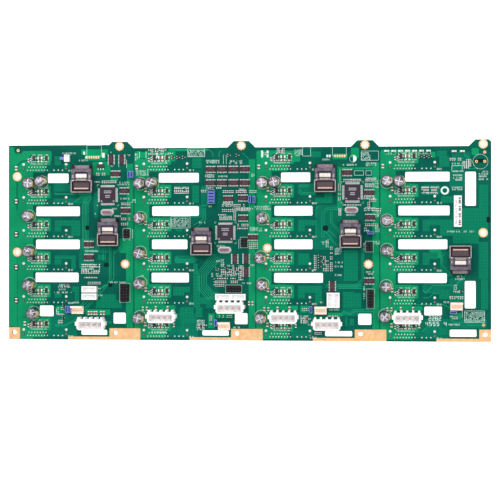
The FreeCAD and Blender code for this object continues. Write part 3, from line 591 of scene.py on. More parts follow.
# %% Deeper planes that show faintly through the laminate
# Left, right, low and high from the bay's zero
INNER_PLANES = {
    (0, 1): [(27, 44, 5, 12), (27, 52, -6, -1), (63, 67, -18, 4)],
    (0, 2): [(51, 77, -20, -7), (26, 51, -19, -17)],
    (0, 3): [(50, 63, -5, 10)],
    (0, 5): [(21, 48, -6, 15)],
    (1, 1): [(27, 43, 10, 12), (51, 56, -10, 10)],
    (1, 2): [(17, 55, 11, 22)],
    (1, 3): [(27, 46, 0, 7)],
    (1, 4): [(55, 64, -10, -1)],
    (1, 5): [(22, 48, -6, 15)],
    (2, 1): [(28, 43, 2, 11)],
    (2, 2): [(44, 66, -7, 22), (41, 65, -17, -7)],
    (2, 4): [(52, 84, 8, 12)],
    (2, 5): [(22, 41, -6, 16), (66, 95, 13, 20)],
    (3, 0): [(53, 69, -6, 9)],
    (3, 1): [(51, 64, 7, 23), (28, 43, 1, 10)],
    (3, 3): [(43, 53, -11, 11)],
    (3, 4): [(28, 62, 4, 12), (51, 64, -9, 17)],
    (3, 5): [(19, 51, -6, 11), (50, 83, 3, 11)]}
inner = bmesh.new()
lay_area(inner, areas_in_bays(INNER_PLANES, 1.2), INNER_HEIGHT)
finish_piece("inner_planes", inner, [mask_on_inner_copper])

# %% [markdown]
# ## Thieving squares
# Where a layer has no copper, the plater adds a field of small squares, so that the plating grows evenly
# everywhere. They join nothing. One material draws them all, so each field is only a flat area.

# %% Thieving squares between the sockets and along the right edge
# Where the field wraps round the right guide hole: bay, right side of its right leg, and how high it goes
HOOKS = [(0, 2, 51, 9), (0, 3, 47, 7), (2, 2, 45, 9), (2, 4, 49, 10), (3, 2, 54, 9), (3, 3, 41, 10)]
# Plain fields in each bay: left, right, low and high from the bay's zero
FIELDS = {
    (0, 0): [(28, 34, -1, 7), (36, 42, -4, 1)],
    (0, 1): [(47, 57, -5, -1), (50, 61, -1, 4)],
    (0, 3): [(67, 73, 3, 8)],
    (0, 4): [(28, 34, -1, 3), (44, 50, 4, 9), (46, 50, -5, 4), (65, 88, -10, -3), (69, 83, -3, 2)],
    (0, 5): [(76, 79, 5, 8)],
    (1, 0): [(43, 51, -4, 5)],
    (1, 1): [(43, 49, -5, 10)],
    (1, 2): [(28, 34, -1, 2)],
    (1, 3): [(44, 48, -10, 0)],
    (1, 4): [(26, 36, 1, 9), (36, 41, 4, 9), (32, 44, -18, -9), (44, 50, -9, 19), (46, 52, -18, -9),
             (50, 61, -6, 0)],
    (1, 5): [(32, 36, -1, 11), (36, 46, 6, 11)],
    (2, 0): [(39, 48, 5, 10)],
    (2, 1): [(43, 58, -6, -1), (51, 58, -1, 3)],
    (2, 3): [(28, 38, -1, 9), (68, 80, -15, 12)],
    (2, 4): [(67, 77, -9, 5), (77, 83, -9, 4)],
    (2, 5): [(69, 71, 4, 12), (73, 77, 5, 11)],
    (3, 0): [(40, 49, 5, 10), (42, 51, -4, 5)],
    (3, 1): [(44, 54, -6, 0), (76, 84, -36, 10)],
    (3, 2): [(54, 76, -12, 1), (62, 76, 1, 19)],
    (3, 3): [(76, 84, -13, 19)],
    (3, 4): [(42, 51, -1, 7), (78, 84, -10, 16)],
    (3, 5): [(29, 34, -1, 3), (42, 49, -3, 3)]}
squares = bmesh.new()
fields = areas_in_bays(FIELDS)
for column, row, right, high in HOOKS:
    fields += [in_bay(column, row, 28, 34, -1, 4), in_bay(column, row, 28, min(right, 43), 4, high)]
    if right > 43:
        fields.append(in_bay(column, row, 43, right, -5, high))
lay_area(squares, fields, SQUARES_HEIGHT)
finish_piece("thieving_squares", squares, [mask_on_squares])

# %% [markdown]
# ## Traces
# Signals run from port to controller to socket as fine copper lines that turn by 45 degrees. Each is drawn
# as a strip with mitred corners.

# %% Traces
# Each bus: its first line, its last line, and how many lines run from the one to the other
BUSES = [
    ([(-137, 38.5), (-140.5, 33), (-140.5, 2.5)], [(-142.5, 41.5), (-145.5, 31.5), (-145.5, 2.5)], 5),
    ([(-140.5, 2.5), (-140.5, -8.5)], [(-143, 2.5), (-143, -17.5)], 3),
    ([(-144.5, 2.5), (-144.5, -7)], [(-145.5, 2.5), (-145.5, -7)], 2),
    ([(-137.5, 41), (-170, 41)], [(-137.5, 42), (-171, 42)], 2),
    ([(-121.5, -4), (-121.5, -35), (-143, -59), (-152, -69.5), (-161, -74.5), (-170, -74.5)],
     [(-117.5, -8), (-117.5, -33.5), (-141.5, -59.5), (-150.5, -70.5), (-162, -75.5), (-170, -75.5)], 2),
    ([(-125, -4), (-125, -17.5)], [(-127, -6), (-127, -17.5)], 2),
    ([(-147.5, -57.5), (-141, -50), (-121.5, -36)], [(-146.5, -58.5), (-136, -49), (-120, -36)], 2),
    ([(-36, 28.5), (-36, 18), (-44.5, 11)], [(-38, 28.5), (-38, 19), (-46.5, 13.5)], 2),
    ([(-62, -14), (-59, -16.5), (-49, -16.5), (-46, -14)],
     [(-63, -16.5), (-61, -19), (-46.5, -19), (-43, -16)], 3),
    ([(-29, -10.5), (-42.5, -27), (-42.5, -42.5), (-34.5, -51), (-25.5, -51)],
     [(-22.5, -16), (-35, -30), (-35, -38.5), (-29, -45.5), (-25.5, -45.5)], 6),
    ([(84.5, 28.5), (70, 28.5), (66, 24), (66, 2.5)], [(85, 27), (71, 27), (68, 23.5), (68, 2.5)], 2),
    ([(73.5, 25.5), (73.5, 15.5), (83, 6)], [(75, 25.5), (75, 16), (83, 8)], 2),
    ([(69.5, 11.5), (79, 2.5)], [(67.5, 9.5), (74.5, 2.5)], 2),
    ([(46, 48.5), (56, 48.5)], [(46, 47), (55, 47)], 2),
    ([(46.5, 45), (49, 42), (61, 42)], [(45.5, 43), (48, 40.5), (61, 40.5)], 2),
    ([(73.5, 2.5), (80, -4)], [(72.5, 2.5), (79, -4.5)], 2),
    ([(80, -38.5), (96, -38.5), (101, -33.5), (101, -6.5)],
     [(80, -40), (97, -40), (102.5, -34.5), (102.5, -6.5)], 2),
    ([(84.5, -61), (90, -63.5), (94, -60), (112.5, -60)],
     [(84, -62.5), (90.5, -64.5), (95, -61.5), (112.5, -61.5)], 2)]
SINGLE_TRACES = [
    [(-154.5, 33), (-147.5, 38.5), (-137.5, 39.5)], [(-120, -4), (-120, -35.5)],
    [(-113, -4), (-113, -7.5), (-117.5, -11.5)],
    [(-69, 80), (-36, 80), (-32, 79.5), (-29.5, 76.5), (-29.5, 73.5)],
    [(-40, 31), (-34.5, 31), (-34.5, 46)], [(-22.5, 79), (-24, 77), (-24, 73.5)], [(-3.5, 77), (2, 72)],
    [(63, 30), (61, 28.5), (61, 20)], [(80, -41.5), (112.5, -41.5)], [(188, 75.5), (196.5, 67.5)],
    [(178.5, 61), (179, 64.5), (187, 64.5)], [(191.5, 62), (201, 62)],
    [(169, -12), (169, -20), (179, -30.5)], [(171, -12), (170, -14), (170, -19)],
    [(153.5, -42.5), (156, -45.5), (162.5, -38.5), (182, -38.5), (191, -29)],
    [(153.5, -49.5), (158.5, -49.5)], [(148, -55.5), (172, -55.5), (176.5, -58.5)],
    [(176.5, -68), (181, -70.5), (187.5, -70.5)], [(191.5, -73), (204.5, -73)],
    [(182.5, -37), (187.5, -31.5)], [(159, -49.5), (162.5, -45.5), (167, -45.5)],
    [(153, -78.5), (158.5, -74), (159.5, -75.5)]]
TRACE_WIDTH = 0.46
print("traces:", len(SINGLE_TRACES) + sum(count for first, last, count in BUSES))

# %% Strips along the traces
traces = bmesh.new()


def lay_strip(bm, points, width, thickness):
    """Raised strip along points in millimetres, mitred at its corners."""
    sides = []
    for index, (x, y) in enumerate(points):
        before = points[max(index - 1, 0)]
        after = points[min(index + 1, len(points) - 1)]
        legs = [(a, b) for a, b in ((before, (x, y)), ((x, y), after)) if a != b]
        ways = [Vector((b[0] - a[0], b[1] - a[1])).normalized() for a, b in legs]
        way = (ways[0] + ways[-1]).normalized()
        across = Vector((-way.y, way.x)) * (width / 2 / max(abs(way.dot(ways[0])), 0.4))
        sides.append([(x + across.x, y + across.y), (x - across.x, y - across.y)])
    rings = []
    for left, right in sides:
        rings.append([bm.verts.new((px * MM, py * MM, TOP + pz * MM))
                      for (px, py), pz in ((left, 0), (right, 0), (right, thickness), (left, thickness))])
    bm.faces.new(rings[0])
    bm.faces.new(list(reversed(rings[-1])))
    for a, b in zip(rings, rings[1:]):
        for k in range(4):
            bm.faces.new((a[k], b[k], b[(k + 1) % 4], a[(k + 1) % 4]))


for points in SINGLE_TRACES:
    lay_strip(traces, points, TRACE_WIDTH, TRACE_HEIGHT)
for first, last, count in BUSES:
    for line in range(count):
        share = line / (count - 1)
        points = [(a[0] + (b[0] - a[0]) * share, a[1] + (b[1] - a[1]) * share) for a, b in zip(first, last)]
        lay_strip(traces, points, TRACE_WIDTH, TRACE_HEIGHT)
bmesh.ops.recalc_face_normals(traces, faces=traces.faces)
finish_piece("traces", traces, [mask_on_trace])

# %% [markdown]
# ## Gaps in the copper
# Copper is left out where a net must keep its distance from the next one. On the real board such a gap is a
# groove; here it is a thin dark strip or patch that lies over the copper.

# %% Gaps left open in the copper
gaps = bmesh.new()
lay_strip(gaps, [(-192.5, 71.5), (-200.5, 70.6), (-204.6, 66.5), (-204.6, 61.6)], 0.9, GAP_HEIGHT + 0.001)
lay_strip(gaps, [(-204.6, 52.4), (-204.6, 27.5)], 0.9, GAP_HEIGHT)
lay_strip(gaps, [(-204.2, -14.6), (-204.2, -75.0)], 0.3, GAP_HEIGHT)
lay_area(gaps, [mm_rectangle(-207.0, -199.6, 77.5, 85.0, 1.6)], SMALL_GAP_HEIGHT)
under_parts = [in_bay(column, row, 5.2, 12.4, 1.5, 8.0, 1.4) for column in range(4) for row in range(6)]
lay_area(gaps, under_parts, PART_GAP_HEIGHT)
for row in (1, 2, 3, 4):
    x, y = bay(0, row)
    patch = mm_rectangle(x / MM - 8.7, x / MM - 4.5, y / MM - 6.4, y / MM - 0.6, 1.0)
    lay_area(gaps, [patch], SMALL_GAP_HEIGHT)
bmesh.ops.recalc_face_normals(gaps, faces=gaps.faces)
finish_piece("copper_gaps", gaps, [mask_on_laminate])

# %% [markdown]
# ## Gold along the bottom edge
# The cage grounds the board through a strip of open copper along its bottom edge. The strip is cut from the
# board's face as well, so it follows the edge's own notches.

# %% Gold grounding strip along the bottom edge
strip = bmesh.new()
edge = board_low[1] / MM
lay_area(strip, [
    mm_rectangle(-212, -201.9, edge, -76.8), mm_rectangle(201.8, 212, edge, -76.7),
    mm_rectangle(-121.35, -93.8, edge, -77.2), mm_rectangle(-13.35, 14.4, edge, -77.2),
    mm_rectangle(94.7, 122.0, edge, -77.2), mm_rectangle(-158.35, -121.35, edge, -84.7),
    mm_rectangle(-50.1, -13.35, edge, -84.7), mm_rectangle(58.3, 94.7, edge, -84.7),
    mm_rectangle(165.2, 201.8, edge, -84.7)], GOLD_HEIGHT)
finish_piece("gold_grounding_strip", strip, [gold_plate])

# %% [markdown]
# ## Gold rings round the screw holes
# Each screw head presses on a ring of open copper. Most rings also carry a circle of small plated vias.

# %% Screw rings
# Across, up and whether it has vias
RING_PLACES = [(-112.35, 83.4, 1), (-4.4, 83.4, 1), (103.55, 83.4, 1), (205.1, 83.4, 0), (-204.4, 57.0, 0),
               (-204.4, -10.0, 0), (-107.3, -20.5, 1), (18.5, -6.4, 1), (106.5, -20.5, 1), (205.1, 6.9, 0)]
rings = bmesh.new()
RING_PROFILE = [(1.9, -2.4), (2.03, -2.4), (2.03, 0.0), (3.95, 0.0), (3.95, 0.115), (3.1, 0.115),
                (3.0, 0.125), (1.9, 0.125)]


def ring_material(point):
    """Rubbed bright where the screw head presses."""
    return 2 if math.hypot(point.x, point.y) < 3.05 else 0


ring_stamp = lathe_stamp("ring_stamp", RING_PROFILE, 32, ring_material, closed=True)
via_stamp = cone_stamp("via_stamp", 0.5, 0.5, 0.03, lift=0.115, sides=6, material=1)
for x, y, with_vias in RING_PLACES:
    set_down(rings, ring_stamp, x * MM, y * MM)
    if with_vias:
        for turn in range(0, 360, 36):
            across, up = 3.5 * math.cos(math.radians(turn)), 3.5 * math.sin(math.radians(turn))
            set_down(rings, via_stamp, (x + across) * MM, (y + up) * MM)
via_fill = finish("plugged_via", "#9C4A38", "#C07A58", 0.8, 0.01, Roughness=0.5)
finish_piece("screw_hole_rings", rings, [gold_plate, via_fill, gold_rubbed])

# %% [markdown]
# ## Solder tails of the drive sockets
# Each socket's contacts come through the board and end in a small cone of solder: seven in the upper row,
# eight in the lower one and three for power further right. Two plastic pegs sit in holes below the
# guide holes.

# %% Solder tails and pegs
CONTACT_PITCH = 2.54
tail_stamp = join_stamps("tail_stamp", [
    (cone_stamp("fillet", 0.64, 0.4, 0.35), HERE),
    (cone_stamp("tail", 0.3, 0.22, 0.9, lift=0.3, sides=5), HERE)])
power_tail_stamp = cone_stamp("power_tail", 0.72, 0.45, 0.6)
peg_stamp = join_stamps("peg_stamp", [
    (cone_stamp("peg_hole", 1.35, 1.35, 0.12, sides=12), HERE),
    (cone_stamp("peg_tip", 1.05, 0.85, 0.5, sides=10, material=1), HERE)])
RIM_PROFILE = [(0.85, -2.4), (1.04, -2.4), (1.04, 0), (1.12, 0), (1.12, 0.13), (0.85, 0.13)]
rim_stamp = lathe_stamp("rim_stamp", RIM_PROFILE, 12, closed=True)
tails = bmesh.new()
pegs = bmesh.new()
rims = bmesh.new()
for x, y in bays:
    for place in range(7):
        set_down(tails, tail_stamp, x + (4.9 + CONTACT_PITCH * place) * MM, y - CONTACT_PITCH * MM)
    for place in range(8):
        set_down(tails, tail_stamp, x + (3.63 + CONTACT_PITCH * place) * MM, y - 5.3 * MM)
    for place in (27.45, 31.26, 35.07):
        set_down(tails, power_tail_stamp, x + place * MM, y - 5.3 * MM)
    for place in (0, GUIDE_SPACING):
        set_down(pegs, peg_stamp, x + place, y - 3.85 * MM)
        set_down(rims, rim_stamp, x + place, y)
finish_piece("solder_tails", tails, [solder_tin])
finish_piece("guide_hole_rims", rims, [solder_tin])
peg_grey = finish("peg_plastic", "#66585A", "#86767A", 0.6, 0.01, Roughness=0.55)
finish_piece("socket_pegs", pegs, [mask_on_laminate, peg_grey])

# %% [markdown]
# ## The drive side
# This side faces the drives. A real board carries the sockets' sprung contacts here, a grounding strip and
# bare rings where it touches the cage, copper squares between the sockets and a printed outline round each.

# %% Contacts in the drive sockets
contact_blade = box_stamp("contact_blade", (0.42, 0.16, 3.6), bevel=0.05)
BLADE_FOOT = BOTTOM - 6.2 * MM
contacts = bmesh.new()
for x, y in bays:
    for place in range(22):
        across = 19.2 + (place - 10.5) * 1.27 + (1.2 if place > 6 else 0)
        set_down(contacts, contact_blade, x + across * MM, y - 2.9 * MM, z=BLADE_FOOT)
        if place > 6 and place % 2:
            set_down(contacts, contact_blade, x + across * MM, y - 5.1 * MM, z=BLADE_FOOT)
finish_piece("drive_socket_contacts", contacts, [gold_rubbed])

# %% Copper and rings on the drive side
UNDER_HEIGHT = 0.05
bottom_face = bare_face(BOTTOM, False)
under = bmesh.new()
under_areas = [in_bay(column, row, 45.0, 66.0, -11.0, 9.0) for column in range(3) for row in range(6)]
lay_area(under, under_areas, UNDER_HEIGHT, source=bottom_face, upwards=False)
finish_piece("thieving_squares_on_the_drive_side", under, [mask_on_squares])
under_gold = bmesh.new()
gold_areas = [mm_rectangle(-212, 212, edge, -84.7), mm_rectangle(-212, -201.9, edge, -76.8),
              mm_rectangle(201.8, 212, edge, -76.7)]
lay_area(under_gold, gold_areas, UNDER_HEIGHT, source=bottom_face, upwards=False)
under_ring = washer_stamp("under_ring", 2.1, 3.9, 0.08, 32)
for x, y, _ in RING_PLACES:
    set_down(under_gold, under_ring, x * MM, y * MM, z=BOTTOM - 0.08 * MM)
finish_piece("gold_on_the_drive_side", under_gold, [gold_plate])

# %% Printed outlines on the drive side
under_ink = bmesh.new()
long_line = box_stamp("long_line", (44.6, 0.25, 0.06))
short_line = box_stamp("short_line", (0.25, 7.4, 0.06))
for x, y in bays:
    for up in (-3.6, 3.6):
        set_down(under_ink, long_line, x + 19.2 * MM, y + (up - 4.0) * MM, z=BOTTOM - 0.06 * MM)
    for across in (-22.3, 22.3):
        set_down(under_ink, short_line, x + (19.2 + across) * MM, y - 4.0 * MM, z=BOTTOM - 0.06 * MM)
finish_piece("socket_outlines_on_the_drive_side", under_ink, [white_ink])

# %% [markdown]
# ## Electrolytic capacitors
# Each can is deep-drawn aluminium in a shrunk plastic sleeve. The sleeve folds over the rim, so that only the
# disc inside it is bare. Its top is scored, so that it opens safely there if it ever bursts; the scores are
# painted near white, a painted highlight where light catches them. A gold stripe down one side marks the
# negative lead. The board has a printed ring round each can.

# %% Capacitor cans
sleeve = finish("shrunk_sleeve", "#28332F", "#3A4641", 1.5, 0.01, Roughness=0.4)
sleeve_stripe = finish("polarity_stripe", "#B79E62", "#DCC78C", 1.5, 0.01, Metallic=0.3, Roughness=0.4)
CAN_PROFILE = [
    (0, 0), (4.6, 0), (4.95, 0.5), (4.95, 1.6), (4.7, 1.95), (4.95, 2.3),
    (4.95, 11.95), (4.75, 12.4), (4.45, 12.5), (4.2, 12.42), (4.15, 12.22), (0, 12.22)]


def can_material(point):
    """Aluminium inside the folded rim, the stripe on one side, sleeve elsewhere."""
    if point.z > 12.15 and math.hypot(point.x, point.y) < 4.2:
        return 2
    return 1 if abs(math.atan2(point.y, point.x)) < 0.62 else 0


can_stamp = lathe_stamp("can_stamp", CAN_PROFILE, 32, can_material)
# The scores are painted near white: a painted highlight along the stamped grooves.
score_bar = box_stamp("score_bar", (3.7, 0.62, 0.06), lift=12.22, material=3)
# Scored letters: how far each bar lies from the middle, then its turn
SCORES = {
    "Y": [(1.75, 0), (-0.9, 60), (-0.9, -60)], "X": [(1.7, 45), (-1.7, 45), (1.7, -45), (-1.7, -45)],
    "K": [(0, 90), (1.5, 35), (1.5, -35)]}
score_stamps = []
for letter, bars in SCORES.items():
    score_stamps.append(join_stamps(f"score_{letter}", [
        (score_bar, at(0, 0, turn=turn) @ Matrix.Translation((shift * MM, 0, 0))) for shift, turn in bars]))
ink_ring_stamp = washer_stamp("ink_ring", 5.5, 5.75, 0.13, 28)
print("faces of one can:", len(can_stamp.polygons))

# %% Cans in their columns
# How far the top of a can leans sideways, by column
CAN_LEANS = [1.1, 0.5, 0.3, 0.2]
CAN_HEIGHT = 12.5
cans = bmesh.new()
ink_rings = bmesh.new()
dice = random.Random(24)
for column in range(1, 5):
    for box in solids_of(f"capacitors_column_{column}"):
        x, y = middle(box)
        lean = Matrix.Shear("XY", 4, (CAN_LEANS[column - 1] / CAN_HEIGHT, dice.uniform(-0.06, 0.02)))
        turned = ((can_stamp, dice.uniform(-12, 12)), (dice.choice(score_stamps), dice.uniform(0, 360)))
        for stamp, turn in turned:
            leaning = stamp.copy()
            leaning.transform(lean @ Matrix.Rotation(math.radians(turn), 4, "Z"))
            set_down(cans, leaning, x, y)
            bpy.data.meshes.remove(leaning)
        set_down(ink_rings, ink_ring_stamp, x + 0.5 * MM, y * 0.99 + 0.2 * MM)
finish_piece("capacitor_cans", cans, [sleeve, sleeve_stripe, can_top_aluminium, can_score_highlight],
             [f"capacitors_column_{column}" for column in range(1, 5)])
finish_piece("capacitor_rings", ink_rings, [white_ink])

# %% [markdown]
# ## Chips and their leads
# The leads are cut and bent from one sheet of tinned copper: out of the body, down, and out again flat on
# the solder pads. The three controllers have 32 leads on each side, the logic chips seven on two sides.

# %% Controller chips
GULL_LEAD = [(0, 0.72), (0.55, 0.72), (0.95, 0), (1.8, 0), (1.8, 0.14), (1.05, 0.14), (0.63, 0.86), (0, 0.86)]
LEAD_PITCH = 0.385
gull_lead = extruded_stamp("gull_lead", GULL_LEAD, 0.2, material=1)
controller_body = slab_stamp("controller_body", rectangle(-7, 7, -7, 7, 0.7), 1.3, lift=0.2, bevel=0.12)
mark_dot = cone_stamp("mark_dot", 0.75, 0.75, 0.03, lift=1.49, sides=12, material=2)
laser_line = box_stamp("laser_line", (1.0, 0.35, 0.02), lift=1.49, material=2)
controllers = bmesh.new()
for number in range(1, 4):
    x, y = middle(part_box(f"controller_chip_{number}"))
    set_down(controllers, controller_body, x, y)
    for side in range(4):
        turn = Matrix.Rotation(math.radians(90 * side), 4, "Z")
        for lead in range(32):
            place = turn @ Vector((7.0 * MM, (lead - 15.5) * LEAD_PITCH * MM, 0))
            set_down(controllers, gull_lead, x + place.x, y + place.y, turn=90 * side)
    for across in (-5.4, 5.4):
        set_down(controllers, mark_dot, x + across * MM, y - 5.4 * MM)
    for row, length in enumerate((6.6, 6.6, 4.2, 4.2)):
        up = 3.6 - 1.5 * row - (1.0 if row > 1 else 0)
        set_down(controllers, laser_line, x, y + up * MM, size=(length, 2.2, 1))
laser_grey = finish("laser_marking", "#9A939C", "#BDB6C0", 0.4, 0.005, Roughness=0.7)
finish_piece("controller_chips", controllers, [controller_epoxy, solder_tin, laser_grey],
             [f"controller_chip_{number}" for number in range(1, 4)])

# %% Logic chips
LOGIC_LEAD = [(0, 0.6), (0.3, 0.6), (0.5, 0), (1.05, 0), (1.05, 0.2), (0.62, 0.2), (0.42, 0.8), (0, 0.8)]
logic_lead = extruded_stamp("logic_lead", LOGIC_LEAD, 0.62, material=1)
logic_dot = cone_stamp("logic_dot", 0.4, 0.4, 0.03, lift=1.59, sides=10, material=2)
logic_parts = [
    block("logic_body", (8.7, 4.1, 1.4), (0, 0), lift=0.2, bevel=0.18), (logic_dot, at(-3.5, -1.2)),
    (laser_line, at(0.3, 0.5, 0.11, 0, (4.6, 1, 1))), (laser_line, at(0.3, -0.5, 0.11, 0, (5.4, 1, 1)))]
for lead in range(7):
    for side in (1, -1):
        logic_parts.append((logic_lead, at((lead - 3) * 1.27, side * 2.05, 0, side * 90)))
logic_stamp = join_stamps("logic_stamp", logic_parts)
logic = bmesh.new()
for box in solids_of("logic_chips"):
    x, y = middle(box)
    set_down(logic, logic_stamp, x, y, turn=90 if is_upright(box) else 0)
faint_laser = finish("faint_laser_marking", "#523C44", "#664E56", 0.4, 0.005, Roughness=0.7)
finish_piece("logic_chips_with_leads", logic, [chip_epoxy, solder_tin, faint_laser],
             ["logic_chips"])

# %% [markdown]
# ## Crystals
# A drawn steel can, pill-shaped, is resistance-welded to a flange that stands on a plastic spacer.

# %% Crystals


def pill(length, width, steps=8):
    """Corners of a plan outline with half-round ends, in millimetres."""
    corners = []
    for sign, start in ((1, -90), (-1, 90)):
        for step in range(steps + 1):
            turn = math.radians(start + 180 * step / steps)
            across, up = width / 2 * math.cos(turn), width / 2 * math.sin(turn)
            corners.append((sign * (length - width) / 2 + across, up))
    return corners


crystal_spacer = finish("crystal_spacer", "#2A252B", "#38323A", 0.8, 0.01, Roughness=0.5)
crystal_stamp = join_stamps("crystal_stamp", [
    (slab_stamp("spacer", pill(10.6, 4.3), 0.5, material=1), HERE),
    (slab_stamp("flange", pill(11.2, 4.9), 0.4, lift=0.5, material=3), HERE),
    (slab_stamp("cap", pill(9.6, 3.4), 2.6, lift=0.9, bevel=0.3), HERE),
    (slab_stamp("dark_centre", pill(7.4, 1.5), 0.02, lift=3.5, material=2), HERE)])
crystals = bmesh.new()
for box in solids_of("crystals"):
    set_down(crystals, crystal_stamp, *middle(box))
crystal_shade = finish("stamped_crystal_code", "#6E4650", "#8A5E68", 0.5, 0.01, Roughness=0.5)
crystal_rim = finish("bright_crystal_rim", "#DCD4D6", "#F4EEF0", 1.0, 0.01, Metallic=0.2, Roughness=0.35)
finish_piece("crystal_cans", crystals, [crystal_steel, crystal_spacer, crystal_shade, crystal_rim],
             ["crystals"])

# %% [markdown]
# ## Pins, jumpers and the insides of the sockets
# Square gold-plated pins stand in every header. A jumper cap is a blue plastic sleeve round a bent spring,
# open at the top so that the spring can be probed.

# %% Jumper caps
CAP_SIZE = (2.4, 6.0, 6.0)
WELL_DEPTH = 1.2
jumper = new_block(CAP_SIZE)
bmesh.ops.translate(jumper, verts=jumper.verts, vec=(0, 0, CAP_SIZE[2] / 2 * MM))
bevel_edges(jumper, [e for e in jumper.edges if max(v.co.z for v in e.verts) > 5 * MM], 0.3, segments=2)
lid = max(jumper.faces, key=lambda f: f.calc_center_median().z)
bmesh.ops.inset_individual(jumper, faces=[lid], thickness=0.5 * MM)
sunk = bmesh.ops.extrude_face_region(jumper, geom=[lid])["geom"]
well = [item for item in sunk if isinstance(item, bmesh.types.BMVert)]
if lid.is_valid:
    bmesh.ops.delete(jumper, geom=[lid], context="FACES_ONLY")
bmesh.ops.translate(jumper, verts=well, vec=(0, 0, -WELL_DEPTH * MM))
# The floor of the shallow well is painted near-black blue: painted shade that stands for the deep opening
# over the spring.
for face in jumper.faces:
    if 1 * MM < face.calc_center_median().z < 5.3 * MM and abs(face.normal.z) > 0.9:
        face.material_index = 1
bmesh.ops.recalc_face_normals(jumper, faces=jumper.faces)
jumper_stamp = to_mesh("jumper_stamp", jumper)
shaded_jumper_floor = finish("jumper_floor_painted_shade", "#141A33", "#1E2748", 0.6, 0.01, Roughness=0.5)
caps = bmesh.new()
for box in solids_of("jumper_caps"):
    set_down(caps, jumper_stamp, *middle(box), turn=0 if is_upright(box) else 90)
finish_piece("jumper_sleeves", caps, [blue_plastic, shaded_jumper_floor], ["jumper_caps"])

# %% Header pins
PIN_PITCH = 2.54
pin_stamp = box_stamp("pin_stamp", (0.64, 0.64, 8.4), bevel=0.16)
pins = bmesh.new()
pale_pins = bmesh.new()
fan_pins = bmesh.new()
for box in solids_of("pin_headers"):
    x, y = middle(box)
    across, along = (round((box[1][i] - box[0][i]) / (PIN_PITCH * MM)) for i in range(2))
    for i in range(across):
        for j in range(along):
            set_down(pins, pin_stamp, x + (i - (across - 1) / 2) * PIN_PITCH * MM,
                     y + (j - (along - 1) / 2) * PIN_PITCH * MM)
for box in solids_of("sideband_headers"):
    x, y = middle(box)
    for i in range(4):
        for j in range(2):
            along, aside = (i - 1.5) * PIN_PITCH * MM, (j - 0.5) * 1.9 * MM
            step = (aside, along) if is_upright(box) else (along, aside)
            set_down(pale_pins, pin_stamp, x + step[0], y + step[1], size=(0.8, 0.8, 0.6))
# The fan pins are drawn larger than pins and orange: the pins with the painted shade of the header's wells
# round them.
for box in solids_of("fan_headers"):
    x, y = middle(box)
    for i in range(4):
        set_down(fan_pins, pin_stamp, x + (i - 1.5) * 2.4 * MM, y - 0.5 * MM, size=(1.3, 1.6, 0.86))
pin_grey = finish("worn_pin", "#4A4346", "#6E6668", 0.5, 0.01, Metallic=0.6, Roughness=0.4)
finish_piece("header_pins", pins, [pin_grey])
finish_piece("sideband_pins", pale_pins, [solder_tin])
# Orange that stands for the pins together with the painted shade in the header's wells.
fan_pin_and_well_shade = finish("fan_pins_painted_shade", "#DCA47C", "#F2C6A2", 0.6, 0.01, Metallic=0.3, Roughness=0.4)
finish_piece("fan_header_pins", fan_pins, [fan_pin_and_well_shade])

# %% Power pins
power_stamp = join_stamps("power_stamp", [
    (cone_stamp("power_blade", 1.05, 1.05, 5.5, sides=12), HERE),
    (cone_stamp("power_tip", 1.05, 0.6, 0.5, lift=5.5, sides=12), HERE)])
blades = bmesh.new()
for box in solids_of("power_pins"):
    set_down(blades, power_stamp, *middle(box), z=box[0][2])
power_pin_metal = finish("brass_power_pin", "#C6B0AC", "#E2D0CA", 0.8, 0.01, Metallic=0.7, Roughness=0.35)
finish_piece("power_blades", blades, [power_pin_metal], ["power_pins"])

# %% [markdown]
# ## Details of the data ports
# The cover is pressed from thin sheet. Its latch is a tongue, cut free on three sides, that springs up behind
# the plug; the tongue and two spots at the cover's rear corners are painted bright as highlights. The slits
# are dark strips, the openings and the painted shade in them, and two bends carry strips of painted shade.
# Behind the cover the contacts come down in a comb.

# %% The pieces of one port
COVER_TOP = 9.0
port_parts = [
    block("comb_holder", (14.6, 3.0, 0.9), (0, 11.7), lift=3.9, bevel=0.1, material=1),
    # Painted highlight: the tongue is painted far brighter than the sheet it is cut from.
    block("latch_tongue", (9.6, 3.2, 0.16), (0, 3.7), lift=COVER_TOP, bevel=0.06),
    block("latch_end", (9.2, 1.5, 0.16), (0, 0.6), lift=COVER_TOP, bevel=0.06, material=4),
    # Painted shade: a dark strip where the tongue bends at its root.
    block("latch_gap", (9.6, 0.7, 0.05), (0, 1.85), lift=COVER_TOP, material=2),
    block("hood_bar", (12.6, 1.1, 0.35), (0, -7.4), lift=8.7, bevel=0.08, material=5),
    block("hood_panel", (13.4, 5.4, 0.12), (0, -3.4), lift=7.7, material=6),
    block("hood_floor", (16.6, 8.6, 0.12), (0, -5.3), lift=7.65, material=7),
    block("frame_front", (18.4, 0.7, 0.1), (0, -10.5), lift=COVER_TOP, bevel=0.03, material=3),
    block("hood_step", (15.6, 0.5, 0.1), (0, -0.35), lift=8.5, material=3),
    # Painted shade: a dark strip along the joggle, where the sheet bends.
    block("joggle_bend_shadow", (16.8, 0.45, 0.06), (0, 6.2), lift=COVER_TOP, material=2)]
